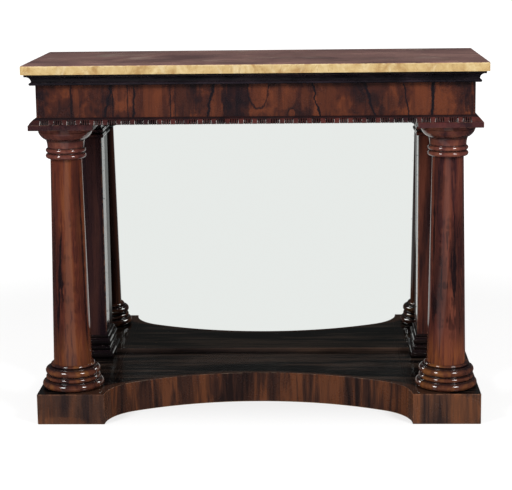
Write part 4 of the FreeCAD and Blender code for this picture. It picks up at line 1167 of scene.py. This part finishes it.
def makeScrews(look):
    low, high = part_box("mirror_backboard")
    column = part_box("right_column_base")
    x = (column[0].x + column[1].x) / 2
    z = np.linspace(low.z + look["endDistance"], high.z - look["endDistance"], look["perSide"])
    share = np.array(look["rings"])
    lift = np.r_[look["dome"] * (1 - share[:-1] ** 2), -look["length"]]
    angle = np.arange(look["sides"]) * 2 * np.pi / look["sides"]
    across, along = (np.outer(share, wave(angle)) * look["radius"] for wave in (np.cos, np.sin))
    out = np.repeat(lift[:, None], look["sides"], 1)
    out[:-1] -= look["slotDepth"] * (np.abs(across[:-1]) < look["slot"])
    points, faces = [], []
    for index, (centreX, centreZ) in enumerate([(sign * x, height) for sign in (1, -1) for height in z]):
        turn = look["nextTurn"] * index + look["firstTurn"]  # each slot stopped at its own angle
        px = centreX + across * math.cos(turn) - along * math.sin(turn)
        pz = centreZ + across * math.sin(turn) + along * math.cos(turn)
        first = len(points) * across.size
        points.append(np.stack([px, high.y + out, pz], -1).reshape(-1, 3))
        faces += tubeFaces(*across.shape, first)
    addPiece("backboardScrews", np.concatenate(points), faces, [oldIron], "iron", ["backboard_screws"])


makeScrews(screwShape)


# rays that see the pale studio: the camera's, those that glass and the mirror pass straight on, and those
# that the mirror passes on to polished wood; the wood's own are dim, and so is the light on what they show
def studioRays(tree):
    path = addWires(tree, "ShaderNodeLightPath")
    glossy, bounces = path["Is Glossy Ray"], path["Glossy Depth"]
    passed = (glossy * path["Is Singular Ray"]).calc("MAXIMUM", path["Is Transmission Ray"])
    passed = passed * path["Diffuse Depth"].calc("LESS_THAN", 0.5)
    mirrored = passed * bounces.calc("LESS_THAN", 1.5)
    dim = glossy.calc("MAXIMUM", passed) - passed
    return bounces.calc("GREATER_THAN", 0.5), path["Is Camera Ray"], mirrored, passed - mirrored, dim


# floor: white to the camera and in the mirror, with the shadow of its diffuse part kept and a painted shadow
# in the bow's hollow; in polished wood it shows as a pale wedge that widens from the table towards the camera
stageLook = {
    "size": 60.0, "bounce": 0.75, "shade": 0.33, "glow": 0.74, "near": 1.2, "far": 3.0, "mirrored": 1.08,
    "hollow": 0.15, "hollowFront": (-0.3, -0.02), "hollowBack": (0.1, 0.2), "hollowSide": (0.38, 0.44),
    "behind": 0.02, "dim": 0.05, "relayed": 1.0, "relayedReach": (0.45, 0.9), "wedgeNear": (0.5, 0.8),
    "wedgeFar": (5.5, 8.0), "wedgeLevel": 0.35,
    "wedgeSides": [(-0.9, -0.15, 0.3), (-0.38, 0.39, -0.05)],  # x at the table, its spread ahead, softness
}


def makeFloor(look):
    half = look["size"] / 2
    mesh = bpy.data.meshes.new("floor")
    corners = [(-half, -half, 0), (half, -half, 0), (half, half, 0), (-half, half, 0)]
    mesh.from_pydata(corners, [], [(0, 1, 2, 3)])
    floor = bpy.data.objects.new("floor", mesh)
    scene.collection.objects.link(floor)
    material = bpy.data.materials.new("paleFloor")
    tree = clearTree(material)
    rays = studioRays(tree)
    place = addWire(tree, "ShaderNodeTexCoord", output="Object")
    x, y, _ = place.parts()
    # painted shadow: the floor is darker in the bow's hollow
    under = y.between(*look["hollowFront"]) * y.between(*look["hollowBack"], 1.0, 0.0)
    under = under * abs(x).between(*look["hollowSide"], look["hollow"], 0.0)
    lit = place.length().between(look["near"], look["far"], look["glow"], 1.0) - under
    ahead = y * -1.0
    wedge = ahead.between(*look["wedgeNear"]) * ahead.between(*look["wedgeFar"], look["wedgeLevel"], 0.0)
    for nearX, spread, softness in look["wedgeSides"]:
        wedge = wedge * (x - (ahead * spread + nearX)).between(-softness, softness)
    centre = abs(x).between(*look["relayedReach"], look["relayed"], look["dim"])
    levels = (look["behind"], lit, look["mirrored"], centre, wedge + look["dim"])
    sights = [addWire(tree, "ShaderNodeEmission", {"Strength": level}) for level in levels]
    greys = [(look[key],) * 3 + (1,) for key in ("bounce", "shade")]
    seen, shade = (addWire(tree, "ShaderNodeBsdfDiffuse", {"Color": grey}) for grey in greys)
    sights[1] = addWire(tree, "ShaderNodeAddShader", {0: shade, 1: sights[1]})
    for share, sight in zip(rays, sights):
        seen = addWire(tree, "ShaderNodeMixShader", {0: share, 1: seen, 2: sight})
    addNode(tree, "ShaderNodeOutputMaterial", {0: seen})
    mesh.materials.append(material)


makeFloor(stageLook)


# world: soft fill for the object, more of it from behind; white to the camera, white up to the horizon and
# dim above it in the mirror, dim in polished wood
worldLook = {
    "fill": (0.22, 0.6), "behind": 0.05, "room": 0.045, "mirrored": 1.08, "horizon": (0.08, 0.16),
}


def makeWorld(look):
    scene.world = bpy.data.worlds.new("studio")
    tree = clearTree(scene.world)
    rays = studioRays(tree)
    _, back, up = addWire(tree, "ShaderNodeTexCoord", output="Generated").parts()
    level = back.between(-1.0, 1.0, *look["fill"])
    band = up.between(*look["horizon"], look["mirrored"], look["room"])
    for share, sight in zip(rays, (look["behind"], 1.0, band, band, look["room"])):
        level = addWire(tree, "ShaderNodeMix", {0: share, 2: level, 3: sight}, data_type="FLOAT")
    shade = addWire(tree, "ShaderNodeBackground", {"Color": (1, 1, 1, 1), "Strength": level})
    addNode(tree, "ShaderNodeOutputWorld", {0: shade})


makeWorld(worldLook)


# two tall softboxes in front, left and right
lampLook = {
    "target": (0, -0.1, 0.45), "azimuth": 46, "elevation": 35, "distance": 3.6, "size": (0.8, 1.2),
    "watts": 76.0,
}


def makeLamp(name, sign, look):
    azimuth, elevation = math.radians(sign * look["azimuth"]), math.radians(look["elevation"])
    level = math.cos(elevation)
    way = Vector((math.sin(azimuth) * level, -math.cos(azimuth) * level, math.sin(elevation)))
    lamp = bpy.data.lights.new(name, "AREA")
    lamp.shape = "RECTANGLE"
    lamp.size, lamp.size_y = look["size"]
    lamp.energy = look["watts"]
    lampObject = bpy.data.objects.new(name, lamp)
    lampObject.location = Vector(look["target"]) + way * look["distance"]
    lampObject.rotation_euler = (-way).to_track_quat("-Z", "Y").to_euler()
    lampObject.visible_camera = False
    scene.collection.objects.link(lampObject)


makeLamp("softboxLeft", -1, lampLook)
makeLamp("softboxRight", 1, lampLook)


# camera: a long lens, a little above the slab and to the right, turned down towards the table
cameraLook = {
    "place": (0.1315, -3.9277, 1.2385), "yaw": -2.008, "pitch": 9.929, "roll": -0.699, "lens": 107.32,
    "shiftY": -0.095, "sensor": 36, "clipEnd": 200,
}


def makeCamera(look):
    camera = bpy.data.cameras.new("camera")
    camera.sensor_width = look["sensor"]
    camera.lens = look["lens"]
    camera.shift_y = look["shiftY"]
    camera.clip_end = look["clipEnd"]
    turn = Matrix.Rotation(-math.radians(look["yaw"]), 4, "Z")
    tilt = Matrix.Rotation(math.radians(90 - look["pitch"]), 4, "X")
    roll = Matrix.Rotation(math.radians(look["roll"]), 4, "Z")
    cameraObject = bpy.data.objects.new("camera", camera)
    cameraObject.matrix_world = Matrix.Translation(look["place"]) @ turn @ tilt @ roll
    scene.collection.objects.link(cameraObject)
    scene.camera = cameraObject


makeCamera(cameraLook)
scene.view_settings.view_transform = "Standard"
